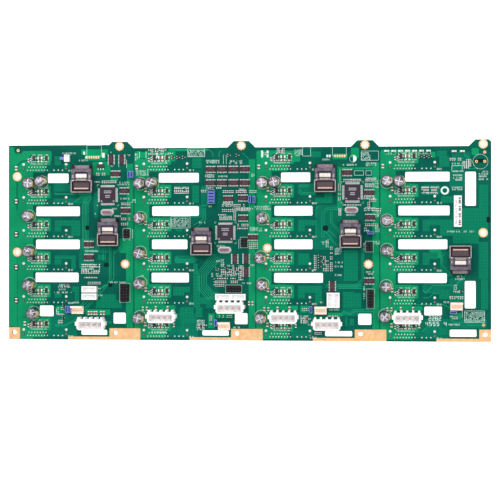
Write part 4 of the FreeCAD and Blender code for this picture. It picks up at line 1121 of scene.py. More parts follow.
for side in (-1, 1):
    port_parts += [
        # Each slit is a dark strip: the opening, and the painted shade under it.
        block("latch_slit", (0.5, 5.6, 0.05), (side * 5.25, 2.6), lift=COVER_TOP, material=2),
        # Painted highlights: two bright spots at the cover's rear corners.
        block("corner_highlight", (1.3, 0.8, 0.14), (side * 7.6, -0.5), lift=COVER_TOP, bevel=0.05),
        block("frame_side", (0.75, 10.2, 0.1), (side * 8.9, -5.6), lift=COVER_TOP, bevel=0.03, material=3),
        block("hood_corner", (1.3, 1.8, 0.12), (side * 7.5, -2.6), lift=7.72, material=4),
        block("cover_tab", (0.9, 2.4, 0.12), (side * 7.4, 3.2), lift=COVER_TOP, bevel=0.04, material=3)]
contact = box_stamp("comb_contact", (0.34, 2.9, 0.5), lift=4.7, material=3)
for place in range(18):
    port_parts.append((contact, at((place - 8.5) * 0.8, 11.7)))
port_stamp = join_stamps("port_stamp", port_parts)
print("faces of one port's details:", len(port_stamp.polygons))

# %% Port details on the six covers
port_details = bmesh.new()
PORT_TURNS = {6: 180}
ZERO_FROM_EDGE = 10.9
for number in range(1, 7):
    low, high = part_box(f"data_port_shell_{number}")
    turn = PORT_TURNS.get(number, 0)
    x = (low[0] + high[0]) / 2
    y = low[1] + ZERO_FROM_EDGE * MM if turn == 0 else high[1] - ZERO_FROM_EDGE * MM
    set_down(port_details, port_stamp, x, y, turn=turn)
# Near-black strips: painted shade in the latch slits and along the bends of the sheet.
slit_and_bend_shade = finish("painted_shade_in_slits_and_bends", "#0F0B10", "#1A151C", 0.6, 0.01, Roughness=0.7)
comb_plastic = finish("comb_plastic", "#5E5258", "#7A6E74", 1.0, 0.01, Roughness=0.5)
tongue_shade = finish("tongue_in_shade", "#8A7A74", "#AA9A92", 1.0, 0.01, Metallic=0.4, Roughness=0.4)
hood_copper = finish("hood_spring_bar", "#C9A79A", "#E6CABC", 1.0, 0.01, Metallic=0.3, Roughness=0.4)
hood_red = finish("hood_floor_red_brown", "#5E3438", "#7C4E4C", 0.8, 0.02, Roughness=0.5)
hood_brown = finish("hood_panel_plastic", "#3A2A2E", "#54404A", 0.8, 0.02, Roughness=0.5)
port_finishes = [
    latch_highlight_metal, comb_plastic, slit_and_bend_shade, frame_sheet, tongue_shade, hood_copper, hood_brown, hood_red]
finish_piece("port_springs_and_combs", port_details, port_finishes)

# %% [markdown]
# ## Small parts
# Transistors and chip capacitors are picked from tape, set in solder paste and reflowed, so they sit in
# neat rows that are never quite exact. Each has bright solder at its ends.

# %% Stamps for small parts
dark_red_glaze = finish("dark_red_glaze", "#5E1F22", "#7C2C2C", 0.5, 0.01, Roughness=0.35)
SMALL_MATERIALS = [resistor_black, solder_tin, ceramic_tan, dark_red_glaze]
transistor_stamp = join_stamps("transistor_stamp", [
    block("case", (1.5, 2.9, 0.95), (0, 0), lift=0.1, bevel=0.12),
    block("leg", (0.75, 0.5, 0.35), (-1.05, 0.95), material=1),
    block("leg", (0.75, 0.5, 0.35), (-1.05, -0.95), material=1),
    block("leg", (0.75, 0.5, 0.35), (1.05, 0), material=1)])


def chip_part(name, material):
    """Unit chip part, 2.0 x 1.25 mm: a body between two solder-coated ends."""
    return join_stamps(name, [
        block("body", (1.0, 1.15, 0.75), (0, 0), lift=0.05, material=material),
        block("end", (0.6, 1.25, 0.8), (-0.75, 0), bevel=0.06, material=1),
        block("end", (0.6, 1.25, 0.8), (0.75, 0), bevel=0.06, material=1)])


capacitor_chip = chip_part("capacitor_chip", 2)
resistor_chip = chip_part("resistor_chip", 0)
red_chip = chip_part("red_chip", 3)
print("faces of one transistor:", len(transistor_stamp.polygons))

# %% Small parts of each bay
# The same parts stand in every bay: stamp, across, up, turn and size
BAY_PARTS = [
    (transistor_stamp, 9.3, 5.4, 0, (1.6, 1.25, 1)), (transistor_stamp, 20.5, 5.4, 0, (1.6, 1.25, 1)),
    (capacitor_chip, 14.9, 5.5, 0, (2.1, 1.9, 1.3)), (capacitor_chip, 15.0, 2.5, 0, (1.7, 1.2, 1)),
    (red_chip, 4.4, 3.6, 90, (1.2, 1.1, 0.8)), (resistor_chip, 6.4, 4.4, 90, (1.1, 1.1, 0.8)),
    (resistor_chip, 8.6, 2.3, 0, (1.1, 0.8, 0.8)), (resistor_chip, 11.5, 2.3, 0, (1.1, 0.8, 0.8)),
    (resistor_chip, 18.6, 2.3, 0, (1.1, 0.8, 0.8)), (red_chip, 21.4, 2.3, 0, (0.9, 0.7, 0.8))]
small = bmesh.new()
for index, (x, y) in enumerate(bays):
    row, column = divmod(index, 4)
    for stamp, across, up, turn, size in BAY_PARTS:
        set_down(small, stamp, x + across * MM, y + up * MM, turn=turn, size=size)
    # One larger capacitor, where the bay has room for it
    if row == 5:
        place = (1.2, 5.3)
    elif column == 0:
        place = (-6.6, -3.4)
    elif row == 0:
        place = (-6.3, -3.2)
    else:
        place = (1.7, 6.4)
    set_down(small, capacitor_chip, x + place[0] * MM, y + place[1] * MM, turn=90, size=(1.7, 1.7, 1.1))
print("small parts so far, faces:", len(small.faces))

# %% [markdown]
# ## Rows of small parts between the bays
# Between the bays lie rows of chip parts at an even pitch, standing or lying. The tables say where a row
# starts and how long it is. Which kind stands at each place is drawn by lot, and so is a gap here and there.

# %% Rows of small parts between the bays
# Rows in each bay: across and up to the first part from the bay's zero in millimetres, then how many
UPRIGHT_ROWS = {
    (0, 0): [(66, -9, 5)],
    (0, 1): [(71, 13.5, 8), (88.5, -6, 5)],
    (0, 2): [(86.5, 10, 6), (86.5, 5.5, 6)],
    (0, 3): [(54, -2, 7)],
    (0, 4): [(58.5, 12, 7), (32.5, -10.5, 3)],
    (0, 5): [(33, 7, 3)],
    (1, 0): [(10.5, 10, 5), (10.5, 12.5, 5), (55, -11, 6)],
    (1, 1): [(70.5, 4.5, 6), (82, 4.5, 6), (94, 4.5, 4), (70, -7.5, 5), (80, -7.5, 6), (70, -12, 6),
             (51.5, 5, 3), (27.5, 4, 8), (27.5, 6.5, 8)],
    (1, 2): [(67.5, 10, 7), (83.5, 4.5, 6), (93.5, -12, 5), (93.5, -15, 5)],
    (1, 3): [(69, 0, 2), (69, -6, 6), (69, -8.5, 6), (64, -16, 12), (64, -19, 12)],
    (1, 5): [(67, 12.5, 3), (74, 12.5, 3)],
    (2, 0): [(-2, 8, 3)],
    (2, 1): [(68, 14, 9), (87, 14, 6), (87, 9, 5), (87, -3.5, 6), (86, -11.5, 9)],
    (2, 2): [(87, 4.5, 9)],
    (2, 4): [(32, -10.5, 4)],
    (2, 5): [(43, -2, 4)],
    (3, 0): [(52, 2.5, 6)],
    (3, 1): [(27.5, 4, 8), (27.5, 6.5, 8)],
    (3, 4): [(55, 10, 2), (52, 0, 7)],
    (3, 5): [(54, 12, 3)]}
LYING_ROWS = {
    (0, 1): [(65, 13.5, 2)],
    (0, 2): [(84, 12.5, 2)],
    (0, 3): [(53, -6.5, 7), (53, -8.5, 7), (56, -12.5, 5)],
    (0, 5): [(31, 13.5, 3)],
    (1, 0): [(5, 8.5, 2), (5, 10.5, 2), (5, 12, 2), (22.5, 7, 2), (22.5, 9, 2)],
    (1, 1): [(83.5, -10, 4), (83.5, -11.5, 4), (93, -10.5, 2), (93, -12, 2)],
    (1, 2): [(67, 13.5, 3), (84, 1.5, 4)],
    (1, 3): [(64, -13, 8)],
    (1, 5): [(48, 2.5, 4), (48, 4.5, 4)],
    (2, 0): [(10.5, 9.5, 3), (10.5, 11, 3), (10.5, 12.5, 3)],
    (2, 1): [(68, -7.5, 7)],
    (2, 2): [(86.5, -0.5, 2), (86.5, 1.5, 2)],
    (2, 5): [(32, 7, 2), (32, 9, 2), (32, 11, 2), (38, 3, 2), (38, 5.5, 2), (38, 8, 2), (38, 10.5, 2),
             (55, 13, 4)],
    (3, 4): [(55.5, 5.5, 3)]}
# Stacks: lying parts one above the other, from the lowest
STACKS = {
    (1, 2): [(80.5, 9, 5)],
    (1, 3): [(65, -9, 3), (80.5, -9, 4), (83, -9, 4), (85, -14, 8), (87, -14, 8)],
    (1, 5): [(59.5, 4, 6)],
    (2, 1): [(64, -3, 9), (89.5, -9, 3)],
    (2, 2): [(64.5, 13, 4)],
    (2, 3): [(43, -5, 8), (51, -6, 9), (53.5, -6, 9), (57, -6, 13)],
    (3, 0): [(64.5, -5, 5), (66.5, -5, 5), (68.5, -5, 5)]}
TRANSISTORS = {
    (0, 4): [(36.5, -8.5)],
    (0, 5): [(36, 10.5)],
    (1, 0): [(26, 5.5), (30.5, 5.5), (35.5, 5.5), (75.5, 7), (83, 7)],
    (1, 3): [(65, -4.5), (73, -4.5), (81, -4.5)],
    (1, 5): [(51, 3.5)],
    (2, 3): [(47, 6.5), (47, 2), (47, -2.5), (50.5, 2)],
    (2, 5): [(36, 10.5)],
    (3, 0): [(26, 5), (30.5, 5), (34.5, 5)],
    (3, 4): [(61, 5.5)]}
PART_PITCH = 1.7
LYING_PITCH = 2.3
row_count = sum(len(rows) for table in (UPRIGHT_ROWS, LYING_ROWS, STACKS) for rows in table.values())
print("rows of small parts:", row_count)

# %% Set the rows down
# Bulk capacitors from the middle of a power socket: across, then up
OVER_OUTER_SOCKETS = [(-17, 6.5), (-13.5, 6.5), (-5.5, 7), (5, 7), (10.5, -8)]
OVER_FIRST_SOCKET = [(-3, 9), (-0.5, 9), (2, 9), (4, 9), (8, 9), (10.5, 9)]
BESIDE_THIRD_SOCKET = [(16.5, 3), (19.5, 3)]


def zero_mm(node):
    """Middle of a CAD node in millimetres."""
    x, y = middle(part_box(node))
    return x / MM, y / MM


def spots_in_bays(table):
    """Each entry of a table kept bay by bay, with its first two numbers moved to the board's millimetres."""
    for (column, row), spots in table.items():
        x, y = bay(column, row)
        for across, up, *rest in spots:
            yield (x / MM + across, y / MM + up, *rest)


dice = random.Random(7)


def small_part(x, y, turn, length, width):
    """One chip part, now and then left out, of a kind drawn by lot."""
    if dice.random() < 0.1 or not on_bare_board(x, y, 0.8):
        return
    stamp = dice.choice((capacitor_chip, resistor_chip, resistor_chip, resistor_chip, red_chip))
    set_down(small, stamp, x * MM, y * MM, turn=turn, size=(length, width, 0.75))


# Each kind of row: its table, its step across and up, the parts' turn and their length
KINDS = [(UPRIGHT_ROWS, PART_PITCH, 0, 90, 0.95), (LYING_ROWS, LYING_PITCH, 0, 0, 0.9),
         (STACKS, 0, PART_PITCH, 0, 0.9)]
for table, step_x, step_y, turn, length in KINDS:
    for x, y, count in spots_in_bays(table):
        for place in range(count):
            small_part(x + place * step_x, y + place * step_y, turn, length, 0.86)
for x, y in spots_in_bays(TRANSISTORS):
    set_down(small, transistor_stamp, x * MM, y * MM)
for number, spots in ((1, OVER_FIRST_SOCKET), (2, OVER_OUTER_SOCKETS), (3, BESIDE_THIRD_SOCKET),
                      (4, OVER_OUTER_SOCKETS), (6, OVER_OUTER_SOCKETS)):
    x, y = zero_mm(f"power_socket_{number}")
    for across, up in spots:
        set_down(small, capacitor_chip, (x + across) * MM, (y + up) * MM, turn=90, size=(1.55, 1.3, 1.3))
finish_piece("small_parts", small, SMALL_MATERIALS)

# %% [markdown]
# ## Printed marks
# White epoxy ink is screened on last: outlines round the parts and their numbers. The numbers here are
# plain digits, each built from up to seven short strokes.

# %% Where the numbers stand
# Blocks of digits in each bay: across and up to the lower left corner, how long, and how many lines
NAMES = {
    (0, 0): [(35, 9, 12, 1), (77.5, 9.5, 2, 1), (78, -2.5, 3, 1), (84.5, -2.5, 2, 1)],
    (0, 1): [(86, 10.5, 9, 2), (87, -2, 8, 1), (79, -11, 6, 1)],
    (0, 2): [(77, 12, 8, 1), (55, -19, 12, 1), (87, -9, 10, 1), (64, 14, 1, 1)],
    (0, 3): [(59, -3.5, 6, 2)],
    (0, 4): [(42, 10, 1, 1), (32, 9.5, 10, 1), (31, 8, 11, 1), (31, 5.5, 7, 1), (27, 3, 16, 1),
             (77, 12, 15, 1), (67, 6.5, 4, 1), (67, 0.5, 4, 1), (43, -6, 7, 1)],
    (0, 5): [(29, 13, 7, 1), (31, 5.5, 4, 2)],
    (1, 0): [(10, 11.5, 10, 1), (-7, -10.5, 11, 3), (55, 0, 12, 2), (75, -0.5, 12, 2), (55, -12.5, 6, 2),
             (66, -12, 8, 1), (18, 0, 4, 1), (-15, 7, 3, 1)],
    (1, 1): [(27, 7.5, 13, 1), (27, 3, 12, 1), (84, 4, 6, 2), (70, -8, 9, 2), (78, -12.5, 16, 2),
             (-11, -5, 4, 2), (57.5, -9, 3, 1)],
    (1, 2): [(67, 9.5, 11, 2), (93, -0.5, 8, 2), (64, -14.5, 8, 1), (101.5, -1, 3, 2)],
    (1, 3): [(94, -2, 4, 1), (-3, -11.5, 3, 1), (64, -11.5, 9, 1), (73, -2.5, 7, 1), (64, 1.5, 4, 1),
             (74, -11, 8, 1)],
    (1, 4): [(87, 11.5, 8, 1)],
    (1, 5): [(79, 2, 6, 1), (48, 8, 6, 1), (6, -2.5, 14, 1)],
    (2, 0): [(67, -2.5, 12, 1), (87, -3, 9, 2), (69, -15.5, 14, 1), (87, -16, 9, 2)],
    (2, 1): [(86, 8.5, 9, 2), (85, -2.5, 10, 2), (67, -6.5, 17, 1), (-10, -9.5, 15, 1), (-9, -11.5, 13, 1),
             (85, -12.5, 10, 2)],
    (2, 2): [(92, -12.5, 7, 2), (48, -13, 4, 2)],
    (2, 3): [(60, 12.5, 6, 1), (60, 10, 6, 2), (60, 8, 6, 1), (60, 0.5, 7, 1), (60, -3, 7, 1),
             (60, -10.5, 6, 1), (87, -9.5, 7, 2)],
    (2, 4): [(45, -5, 6, 1)],
    (2, 5): [(55, 18, 9, 1), (30, 7, 7, 4), (38, -7, 3, 1)],
    (3, 0): [(-5, 7, 40, 1), (51, 2, 11, 1), (53, -2, 9, 1), (54, -8.5, 9, 1), (54, -12, 8, 1),
             (54, -16, 8, 2), (79, -9, 5, 1), (76, -11, 8, 1), (76, -13, 8, 1), (76, -15.5, 8, 1),
             (62, -4, 7, 3)],
    (3, 1): [(27, 7, 15, 1), (27, 2, 14, 1), (53, 5, 9, 2)],
    (3, 2): [(49, -2, 12, 1), (63, -2, 3, 1), (68, -2, 4, 1)],
    (3, 3): [(56, -11.5, 6, 1)],
    (3, 4): [(46, -4.5, 6, 1), (49, -7, 3, 1), (51, 0, 12, 1), (56, 4.5, 6, 1)],
    (3, 5): [(65, 8, 12, 1), (50, 5.5, 10, 1), (50, 12.5, 4, 1)]}
LINE_PITCH = 1.7
# Blocks that read upwards: across and up to the lower left corner, and how long
UPRIGHT_NAMES = {
    (1, 3): [(60, -12, 4), (62, -19, 6), (78.5, -9, 6), (77.5, 2, 6), (87.5, 2, 6)],
    (2, 2): [(85, -19, 9)],
    (2, 4): [(85, -3, 7), (85, 6, 4)],
    (0, 5): [(31, 5, 4)]}
BIG_NAMES = {
    (3, 5): [(30, 9.5, 17), (30, 5, 19)]}
print("blocks of digits:", sum(map(len, NAMES.values())))

# %% Where the frames, strokes and printed tables stand
# Frames in each bay: left, right, low and high
FRAMES = {
    (0, 0): [(57, 70, 7, 16.5)],
    (1, 0): [(39, 54, 6, 13.5)],
    (1, 2): [(24, 41, 2, 12)],
    (2, 0): [(58, 70, 6, 14), (32, 39, 6, 14), (83, 98, 2, 10), (77, 85, -11, -7), (87, 92, -11, -7)],
    (3, 0): [(53, 62, -8, -3)],
    (3, 4): [(55, 57, 7, 11)],
    (3, 5): [(64, 81, 8, 18)]}
# Short upright strokes in each bay: across, low end, and how long
STROKES = {
    (0, 0): [(92.5, -3.5, 7)],
    (1, 0): [(70.5, -0.5, 8), (73, -0.5, 8)],
    (1, 2): [(-10, -7, 8), (84, -16, 8)],
    (1, 3): [(77.5, 0, 9), (87.5, 0, 9)],
    (2, 1): [(64.5, 11.5, 12)],
    (3, 5): [(62, 12, 6)]}
# Printed tables of tiny marks: left, right, low, high, then marks across and up
TABLES = {
    (0, 3): [(52, 69, -8, 0, 12, 4)],
    (0, 5): [(29, 32, 14, 20, 2, 5)],
    (1, 0): [(39, 54, 6, 12, 15, 6), (-8, -5, 3, 9, 2, 6)],
    (1, 1): [(55, 69, 7, 8.5, 8, 1)],
    (1, 2): [(24, 40, 3, 11, 13, 8)],
    (1, 3): [(68, 71, -3, 4, 2, 7)],
    (1, 5): [(47, 54, 0, 9, 6, 8)],
    (2, 0): [(25, 32, 6, 12, 8, 6), (83, 91, 2, 9, 7, 7), (-13, -10, -12, -9, 3, 3)],
    (2, 1): [(95, 98, 7, 14, 2, 6)],
    (2, 2): [(52, 55, -15, -7, 2, 9), (63, 66, 13, 19, 2, 8), (95, 100, 11, 19, 4, 8),
             (95, 99, -2, 4, 4, 5)],
    (3, 5): [(64, 81, 9, 17, 16, 8)]}
print("printed tables:", sum(map(len, TABLES.values())))

# %% Ink strokes
ink = bmesh.new()
stroke_stamp = box_stamp("stroke", (1.0, 1.0, INK_HEIGHT))
# The strokes of each digit from 0 to 9
DIGITS = ["abcdef", "bc", "abged", "abgcd", "fgbc", "afgcd", "afgedc", "abc", "abcdefg", "abcdfg"]
# Each stroke: which way it lies from the digit's middle, and whether it runs across or up
SEGMENTS = {
    "a": (0, 1, 1, 0), "g": (0, 0, 1, 0), "d": (0, -1, 1, 0), "f": (-1, 0.5, 0, 1), "b": (1, 0.5, 0, 1),
    "e": (-1, -0.5, 0, 1), "c": (1, -0.5, 0, 1)}
NAME_HEIGHT = 1.3
# Shares of a digit's height: its place in a row, and the width and lengths of its strokes
DIGIT_SHARE = 0.82
STROKE_WIDTH = 0.15
STROKE_ACROSS = 0.52
STROKE_UP = 0.46


def ink_line(x0, y0, x1, y1, width=0.25):
    """Straight stroke between two places in millimetres."""
    length = math.hypot(x1 - x0, y1 - y0) + width
    set_down(ink, stroke_stamp, (x0 + x1) / 2 * MM, (y0 + y1) / 2 * MM,
             turn=math.degrees(math.atan2(y1 - y0, x1 - x0)), size=(length, width, 1))


def ink_outline(corners, width=0.25):
    """Closed line through corners in millimetres."""
    for start, end in zip(corners, corners[1:] + corners[:1]):
        ink_line(*start, *end, width)


print("strokes of an eight:", len(DIGITS[8]))


# %% Ink digits
def ink_digit(digit, x, y, height, turn=0):
    """Digit centred on a place in millimetres; turn 90 reads upwards."""
    if not on_bare_board(x, y, height * 0.5):
        return
    for segment in DIGITS[digit]:
        dx, dy, across, up = SEGMENTS[segment]
        dx, dy = dx * height * 0.26, dy * height * 0.46
        wide = height * (STROKE_ACROSS if across else STROKE_WIDTH)
        tall = height * (STROKE_UP if up else STROKE_WIDTH)
        if turn:
            dx, dy, wide, tall = -dy, dx, tall, wide
        set_down(ink, stroke_stamp, (x + dx) * MM, (y + dy) * MM, size=(wide, tall, 1))


def ink_name(x, y, length, height=NAME_HEIGHT, turn=0):
    """Run of digits from its lower left corner, with a space here and there."""
    count = max(1, int(length / (height * DIGIT_SHARE)))
    for place in range(count):
        if dice.random() < 0.15:
            continue
        along = (place + 0.5) * length / count
        if turn:
            ink_digit(dice.randrange(10), x + height / 2, y + along, height, turn)
        else:
            ink_digit(dice.randrange(10), x + along, y + height / 2, height)


print("digits in a block 12 mm long:", int(12 / (NAME_HEIGHT * DIGIT_SHARE)))

# %% Blocks of digits
for x, y, length, lines in spots_in_bays(NAMES):
    for line in range(lines):
        ink_name(x, y + line * LINE_PITCH, length)
for x, y, length in spots_in_bays(UPRIGHT_NAMES):
    ink_name(x, y, length, turn=90)
for x, y, length in spots_in_bays(BIG_NAMES):
    ink_name(x, y, length, height=3.4)
for number in range(1, 7):
    x, y = zero_mm(f"data_port_{number}")
    ink_name(x - 4, y + (15.5 if number < 6 else -17), 8)
print("ink so far, faces:", len(ink.faces))

# %% Frames and printed tables
for (column, row), frames in FRAMES.items():
    x, y = (v / MM for v in bay(column, row))
    for left, right, bottom, top in frames:
        ink_outline(rectangle(x + left, x + right, y + bottom, y + top))
for x, y, length in spots_in_bays(STROKES):
    ink_line(x, y, x, y + length)
for (column, row), tables in TABLES.items():
    x, y = (v / MM for v in bay(column, row))
    for left, right, bottom, top, across, up in tables:
        step_x, step_y = (right - left) / across, (top - bottom) / up
        for i in range(across):
            for j in range(up):
                mark_x = x + left + (i + 0.5) * step_x
                mark_y = y + bottom + (j + 0.5) * step_y
                if dice.random() < 0.85 and on_bare_board(mark_x, mark_y, 0.3):
                    set_down(ink, stroke_stamp, mark_x * MM, mark_y * MM,
                             size=(step_x * dice.uniform(0.35, 0.75), step_y * dice.uniform(0.35, 0.6), 1))
print("ink so far, faces:", len(ink.faces))

# %% Marks that every bay has
# Small numbers in every bay: across and up to the first digit's middle, and how many digits
BAY_NUMBERS = ((6.9, 0.35, 13), (13.2, 8.3, 5), (19.2, 8.2, 4), (18.8, 0.3, 3), (4.4, 1.9, 4), (8.6, 8.2, 3))
DIGIT_PITCH = 0.85
for x, y in bays:
    x, y = x / MM, y / MM
    for across, up, count in BAY_NUMBERS:
        for place in range(count):
            ink_digit(dice.randrange(10), x + across + DIGIT_PITCH * place, y + up, 1.0)
    for across in (7.6, 11.2, 18.9, 22.5):
        ink_line(x + across, y + 3.9, x + across, y + 6.9, 0.22)
    # The drive's number, after a small hash
    ink_name(x + 42.2, y - 6.5, 2.2)
    for across in (40.7, 41.4):
        ink_line(x + across, y - 6.6, x + across, y - 5.0)
    for up in (-6.2, -5.4):
        ink_line(x + 40.2, y + up, x + 41.9, y + up)
print("ink so far, faces:", len(ink.faces))

# %% Outlines round the parts
for box in solids_of("pin_headers"):
    x0, y0, x1, y1 = (v / MM for v in (box[0][0], box[0][1], box[1][0], box[1][1]))
    ink_outline(rectangle(x0 - 0.8, x1 + 0.8, y0 - 0.8, y1 + 0.8))
for box in solids_of("crystals"):
    x, y = (v / MM for v in middle(box))
    ink_outline([(x + across, y + up) for across, up in pill(11.8, 5.5, 5)], 0.24)
for number in range(1, 4):
    low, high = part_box(f"controller_chip_{number}")
    x0, y0, x1, y1 = low[0] / MM - 0.6, low[1] / MM - 0.6, high[0] / MM + 0.6, high[1] / MM + 0.6
    for x, y, dx, dy in ((x0, y0, 1, 1), (x1, y0, -1, 1), (x1, y1, -1, -1), (x0, y1, 1, -1)):
        ink_line(x, y, x + 1.3 * dx, y, 0.18)
        ink_line(x, y, x, y + 1.3 * dy, 0.18)
print("ink so far, faces:", len(ink.faces))

# %% Single marks
set_down(ink, washer_stamp("ring_mark", 6.3, 6.5, INK_HEIGHT, 36), 202.7 * MM, 68.2 * MM)
set_down(ink, washer_stamp("blank_badge", 2.1, 3.6, INK_HEIGHT, 24), 172.3 * MM, 43.4 * MM)
turns = [math.radians(turn) for turn in range(-90, 91, 15)]
half_disc = slab_stamp("half_disc", [(3.0 * math.cos(turn), 3.0 * math.sin(turn)) for turn in turns], 0.13)
set_down(ink, half_disc, 93.3 * MM, 71.4 * MM)
set_down(ink, washer_stamp("ring_round_half_disc", 2.95, 3.15, INK_HEIGHT, 24), 93.2 * MM, 71.4 * MM)
# Filled marks: across, up, width and height
FILLED_MARKS = [
    (13.9, 75.9, 1.6, 6.0), (18.7, 75.9, 1.6, 6.0), (-144.0, 77.6, 1.8, 2.6), (-141.9, 73.8, 2.0, 2.2),
    (-126.8, 75.6, 2.4, 4.2), (70.8, 73.8, 1.6, 2.2), (72.9, 73.8, 1.6, 2.2), (-78.9, 75.7, 1, 4.4)]
for x, y, wide, tall in FILLED_MARKS:
    set_down(ink, stroke_stamp, x * MM, y * MM, size=(wide, tall, 1))
for x, y in ((-94.6, 75.7), (-88.7, 75.7)):
    ink_line(x, y - 3, x, y + 3, 0.4)
    ink_line(-94.6, y + 3, -88.7, y + 3, 0.3)
    ink_line(-94.6, y - 3, -88.7, y - 3, 0.3)
finish_piece("printed_marks", ink, [white_ink])

# %% [markdown]
# ## The label's print
# A paper label carries a bar code and short lines of text. Here they are plain bars and dashes of random
# heights, so that they say nothing.

# %% Label print
label_low, label_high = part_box("paper_label")
print_marks = bmesh.new()
bar_y = label_low[1] + 1.6 * MM
while bar_y < label_high[1] - 1.6 * MM:
    tall = dice.choice((0.5, 0.6, 0.9, 1.3)) * MM
    bar = box_stamp("bar", (1.9, tall / MM, 0.03))
    set_down(print_marks, bar, label_high[0] - 1.7 * MM, bar_y + tall / 2, z=label_high[2])
    bar_y += tall + dice.choice((0.25, 0.35, 0.6)) * MM
    if dice.random() < 0.12:
        bar_y += 1.6 * MM
dash = box_stamp("dash", (0.3, 0.5, 0.03))
dash_y = label_low[1] + 3.0 * MM
while dash_y < label_high[1] - 4.0 * MM:
    for across in (1.5, 2.1, 2.7):
        if dice.random() < 0.8:
            set_down(print_marks, dash, label_low[0] + across * MM, dash_y, z=label_high[2],
                     size=(1, dice.uniform(0.6, 1.4), 1))
    dash_y += 0.85 * MM
print_ink = finish("label_print_ink", "#3A2A32", "#55424C", 0.5, 0.004, Roughness=0.7)
finish_piece("label_print", print_marks, [print_ink])

# %% [markdown]
# ## Lamps, a regulator and a small connector near the top edge
# A lamp is a white case round a coloured lens, with a solder pad at each end. The regulator sheds its heat
# through a metal tab. The connector is a hollow block round two pins, with a jumper cap beside it.

# %% Parts along the top edge
led_green = finish("led_lens_green", "#6FBF5A", "#9BE07F", 0.6, 0.01, Roughness=0.3)
led_amber = finish("led_lens_amber", "#D08A3A", "#F0AE58", 0.6, 0.01, Roughness=0.3)
edge_parts = bmesh.new()
led_stamp = join_stamps("led_stamp", [
    block("led_case", (2.8, 1.4, 0.8), (0, 0), bevel=0.1, material=0),
    block("led_lens", (1.2, 1.0, 0.35), (0.4, 0), lift=0.8, bevel=0.15, material=1),
    block("led_pad", (0.5, 1.6, 0.14), (-1.75, 0), material=3),
    block("led_pad", (0.5, 1.6, 0.14), (1.75, 0), material=3),
    block("led_chip", (1.6, 0.8, 0.6), (0, -2.0), bevel=0.05, material=4)])
# Rows of lamps in the last column's top bay: across and up to the first lamp, how many, and their pitch
LAMP_ROWS = [(-3, 10, 7, 6.0), (55, 9.5, 2, 7.0)]
x, y = bay(3, 0)
for across, up, count, pitch in LAMP_ROWS:
    for place in range(count):
        set_down(edge_parts, led_stamp, x + (across + place * pitch) * MM, y + up * MM)
regulator = join_stamps("regulator", [
    block("case", (6.5, 3.5, 1.5), (0, 0), lift=0.1, bevel=0.2, material=4),
    block("tab", (3.0, 1.8, 0.5), (0, 2.5), bevel=0.1, material=3),
    block("leg", (0.8, 1.6, 0.4), (-2.3, -2.4), bevel=0.08, material=3),
    block("leg", (0.8, 1.6, 0.4), (0, -2.4), bevel=0.08, material=3),
    block("leg", (0.8, 1.6, 0.4), (2.3, -2.4), bevel=0.08, material=3)])
set_down(edge_parts, regulator, -129.2 * MM, 65.9 * MM)
edge_finishes = [white_nylon, led_green, led_amber, solder_tin, resistor_black]
finish_piece("edge_parts", edge_parts, edge_finishes)

# %% Small connector and its jumper
plug = bmesh.new()
plug_body = new_block((4.4, 6.2, 5.0))
bmesh.ops.translate(plug_body, verts=plug_body.verts, vec=(0, 0, 2.5 * MM))
plug_top = max(plug_body.faces, key=lambda f: f.calc_center_median().z)
bmesh.ops.inset_individual(plug_body, faces=[plug_top], thickness=0.7 * MM)
bmesh.ops.inset_individual(plug_body, faces=[plug_top], thickness=0.05 * MM, depth=-3.0 * MM)
bmesh.ops.recalc_face_normals(plug_body, faces=plug_body.faces)
set_down(plug, to_mesh("plug_body", plug_body), -158.9 * MM, 72.9 * MM)
for up in (-1.27, 1.27):
    set_down(plug, pin_stamp, -158.9 * MM, (72.9 + up) * MM, size=(1, 1, 0.6))
set_down(plug, box_stamp("plug_cap", (3.6, 2.6, 4.6), bevel=0.3, material=1), -163.2 * MM, 72.7 * MM)
finish_piece("test_connector", plug, [white_nylon, blue_plastic])

# %% Gold pads and plated holes
pads = bmesh.new()
finger = box_stamp("finger", (1.3, 2.3, 0.13))
for first in (-139.4, 77.6):
    for place in range(5):
        set_down(pads, finger, (first + 2.05 * place) * MM, 73.8 * MM)
eyelet = washer_stamp("eyelet", 0.5, 1.3, 0.14, 14)
for x, y in ((199.3, 68.4), (206.4, 68.4), (-203.6, 80.2), (206.4, 76.4), (205.5, -72.8)):
    set_down(pads, eyelet, x * MM, y * MM)
finish_piece("gold_fingers", pads, [gold_plate])

# %% Dark patches
# Left, right, low, high and the cut of the corners
PATCHES = [
    (197.0, 207.8, 67.4, 70.6, 0.8), (207.9, 211.0, 15.6, 20.6, 0.6), (-126.3, -121.8, -23.2, -19.4, 0.8),
    (-122.4, -118.6, -40.8, -37.0, 0.8), (66.9, 71.6, 8.6, 13.2, 1.0), (-143.0, -139.5, 9.5, 13.5, 0.8)]
patches = bmesh.new()
lay_area(patches, [mm_rectangle(*patch) for patch in PATCHES], GAP_HEIGHT)
SHADOW = {"Roughness": 0.7, "Specular IOR Level": 0.1}
dark_mask = finish("mask_in_shadow", "#01201C", "#032A24", 2.0, 0.01, **SHADOW)
finish_piece("dark_patches", patches, [dark_mask])


# %% [markdown]
# ## Camera, floor and light
# The camera looks almost straight down through a long lens, so that the tall cans hide little of the board.
# The pale floor glows a little, and one large soft lamp and a weaker one keep the shadows short.

# %% Camera
camera_data = bpy.data.cameras.new("camera")
camera_data.lens = 98.21
camera_data.sensor_width = 36.0
camera_data.clip_end = 10.0
camera = bpy.data.objects.new("camera", camera_data)
camera.location = (0.109, -0.0068, 1.200)
camera.rotation_euler = (math.radians(-0.062), math.radians(5.081), math.radians(0.009))
bpy.context.scene.collection.objects.link(camera)
bpy.context.scene.camera = camera
print("camera lens, mm:", round(camera_data.lens, 2))

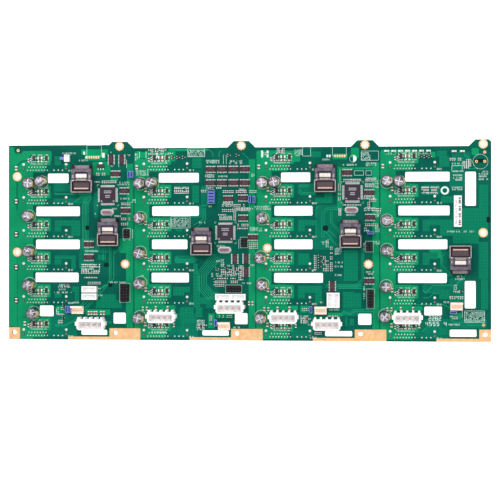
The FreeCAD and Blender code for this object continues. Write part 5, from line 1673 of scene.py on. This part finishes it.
# %% Floor
floor_bm = bmesh.new()
bmesh.ops.create_grid(floor_bm, x_segments=1, y_segments=1, size=12.0)
floor_mesh = to_mesh("floor", floor_bm)
floor_material, floor_tree = new_material("pale_floor")
floor_surface = add_node(floor_tree, "ShaderNodeBsdfPrincipled", {
    "Base Color": linear("#D8D8D8"), "Roughness": 0.9,
    "Emission Color": linear("#FFFFFF"), "Emission Strength": 1.0})
add_node(floor_tree, "ShaderNodeOutputMaterial", {"Surface": (floor_surface, "BSDF")})
floor_mesh.materials.append(floor_material)
floor = bpy.data.objects.new("floor", floor_mesh)
floor.location.z = CAD_BOX[0][2] - 0.1 * MM
bpy.context.scene.collection.objects.link(floor)
print("floor height, mm:", round(floor.location.z / MM, 2))

# %% Light
world = bpy.data.worlds.new("studio")
world.use_nodes = True
world.node_tree.nodes["Background"].inputs["Color"].default_value = (1, 1, 1, 1)
world.node_tree.nodes["Background"].inputs["Strength"].default_value = 0.75
bpy.context.scene.world = world


def soft_light(name, place, power, size=0.9):
    """Round lamp that shines at the middle of the board."""
    data = bpy.data.lights.new(name, "AREA")
    data.shape = "DISK"
    data.size = size
    data.energy = power
    item = bpy.data.objects.new(name, data)
    item.location = place
    item.rotation_euler = (-Vector(place)).to_track_quat("-Z", "Y").to_euler()
    bpy.context.scene.collection.objects.link(item)


soft_light("key_light", (-0.5, 0.7, 1.5), 9.0)
soft_light("fill_light", (0.8, 0.3, 1.3), 5.0)
bpy.context.scene.view_settings.view_transform = "Standard"
print("lamps:", len(bpy.data.lights))

# %% [markdown]
# ## Finishes of the CAD pieces
# The solids themselves only need a finish each. Nodes of one kind share it, whatever their number.

# %% Finishes of the CAD pieces
CAD_FINISHES = {
    "circuit_board": board_finish, "power_pins": gold_plate, "crystals": crystal_steel,
    "pin_headers": black_nylon, "jumper_caps": blue_plastic, "sideband_headers": white_nylon,
    "fan_headers": cream_nylon, "logic_chips": chip_epoxy, "paper_label": label_paper,
    "drive_socket": black_nylon, "capacitors_column": can_top_aluminium, "data_port": black_nylon,
    "data_port_shell": cover_sheet, "power_socket": white_nylon, "controller_chip": controller_epoxy}
for name, item in nodes.items():
    kind = name.rstrip("0123456789").rstrip("_")
    item.data.materials.clear()
    item.data.materials.append(CAD_FINISHES[kind])
print("CAD nodes finished:", len(nodes))
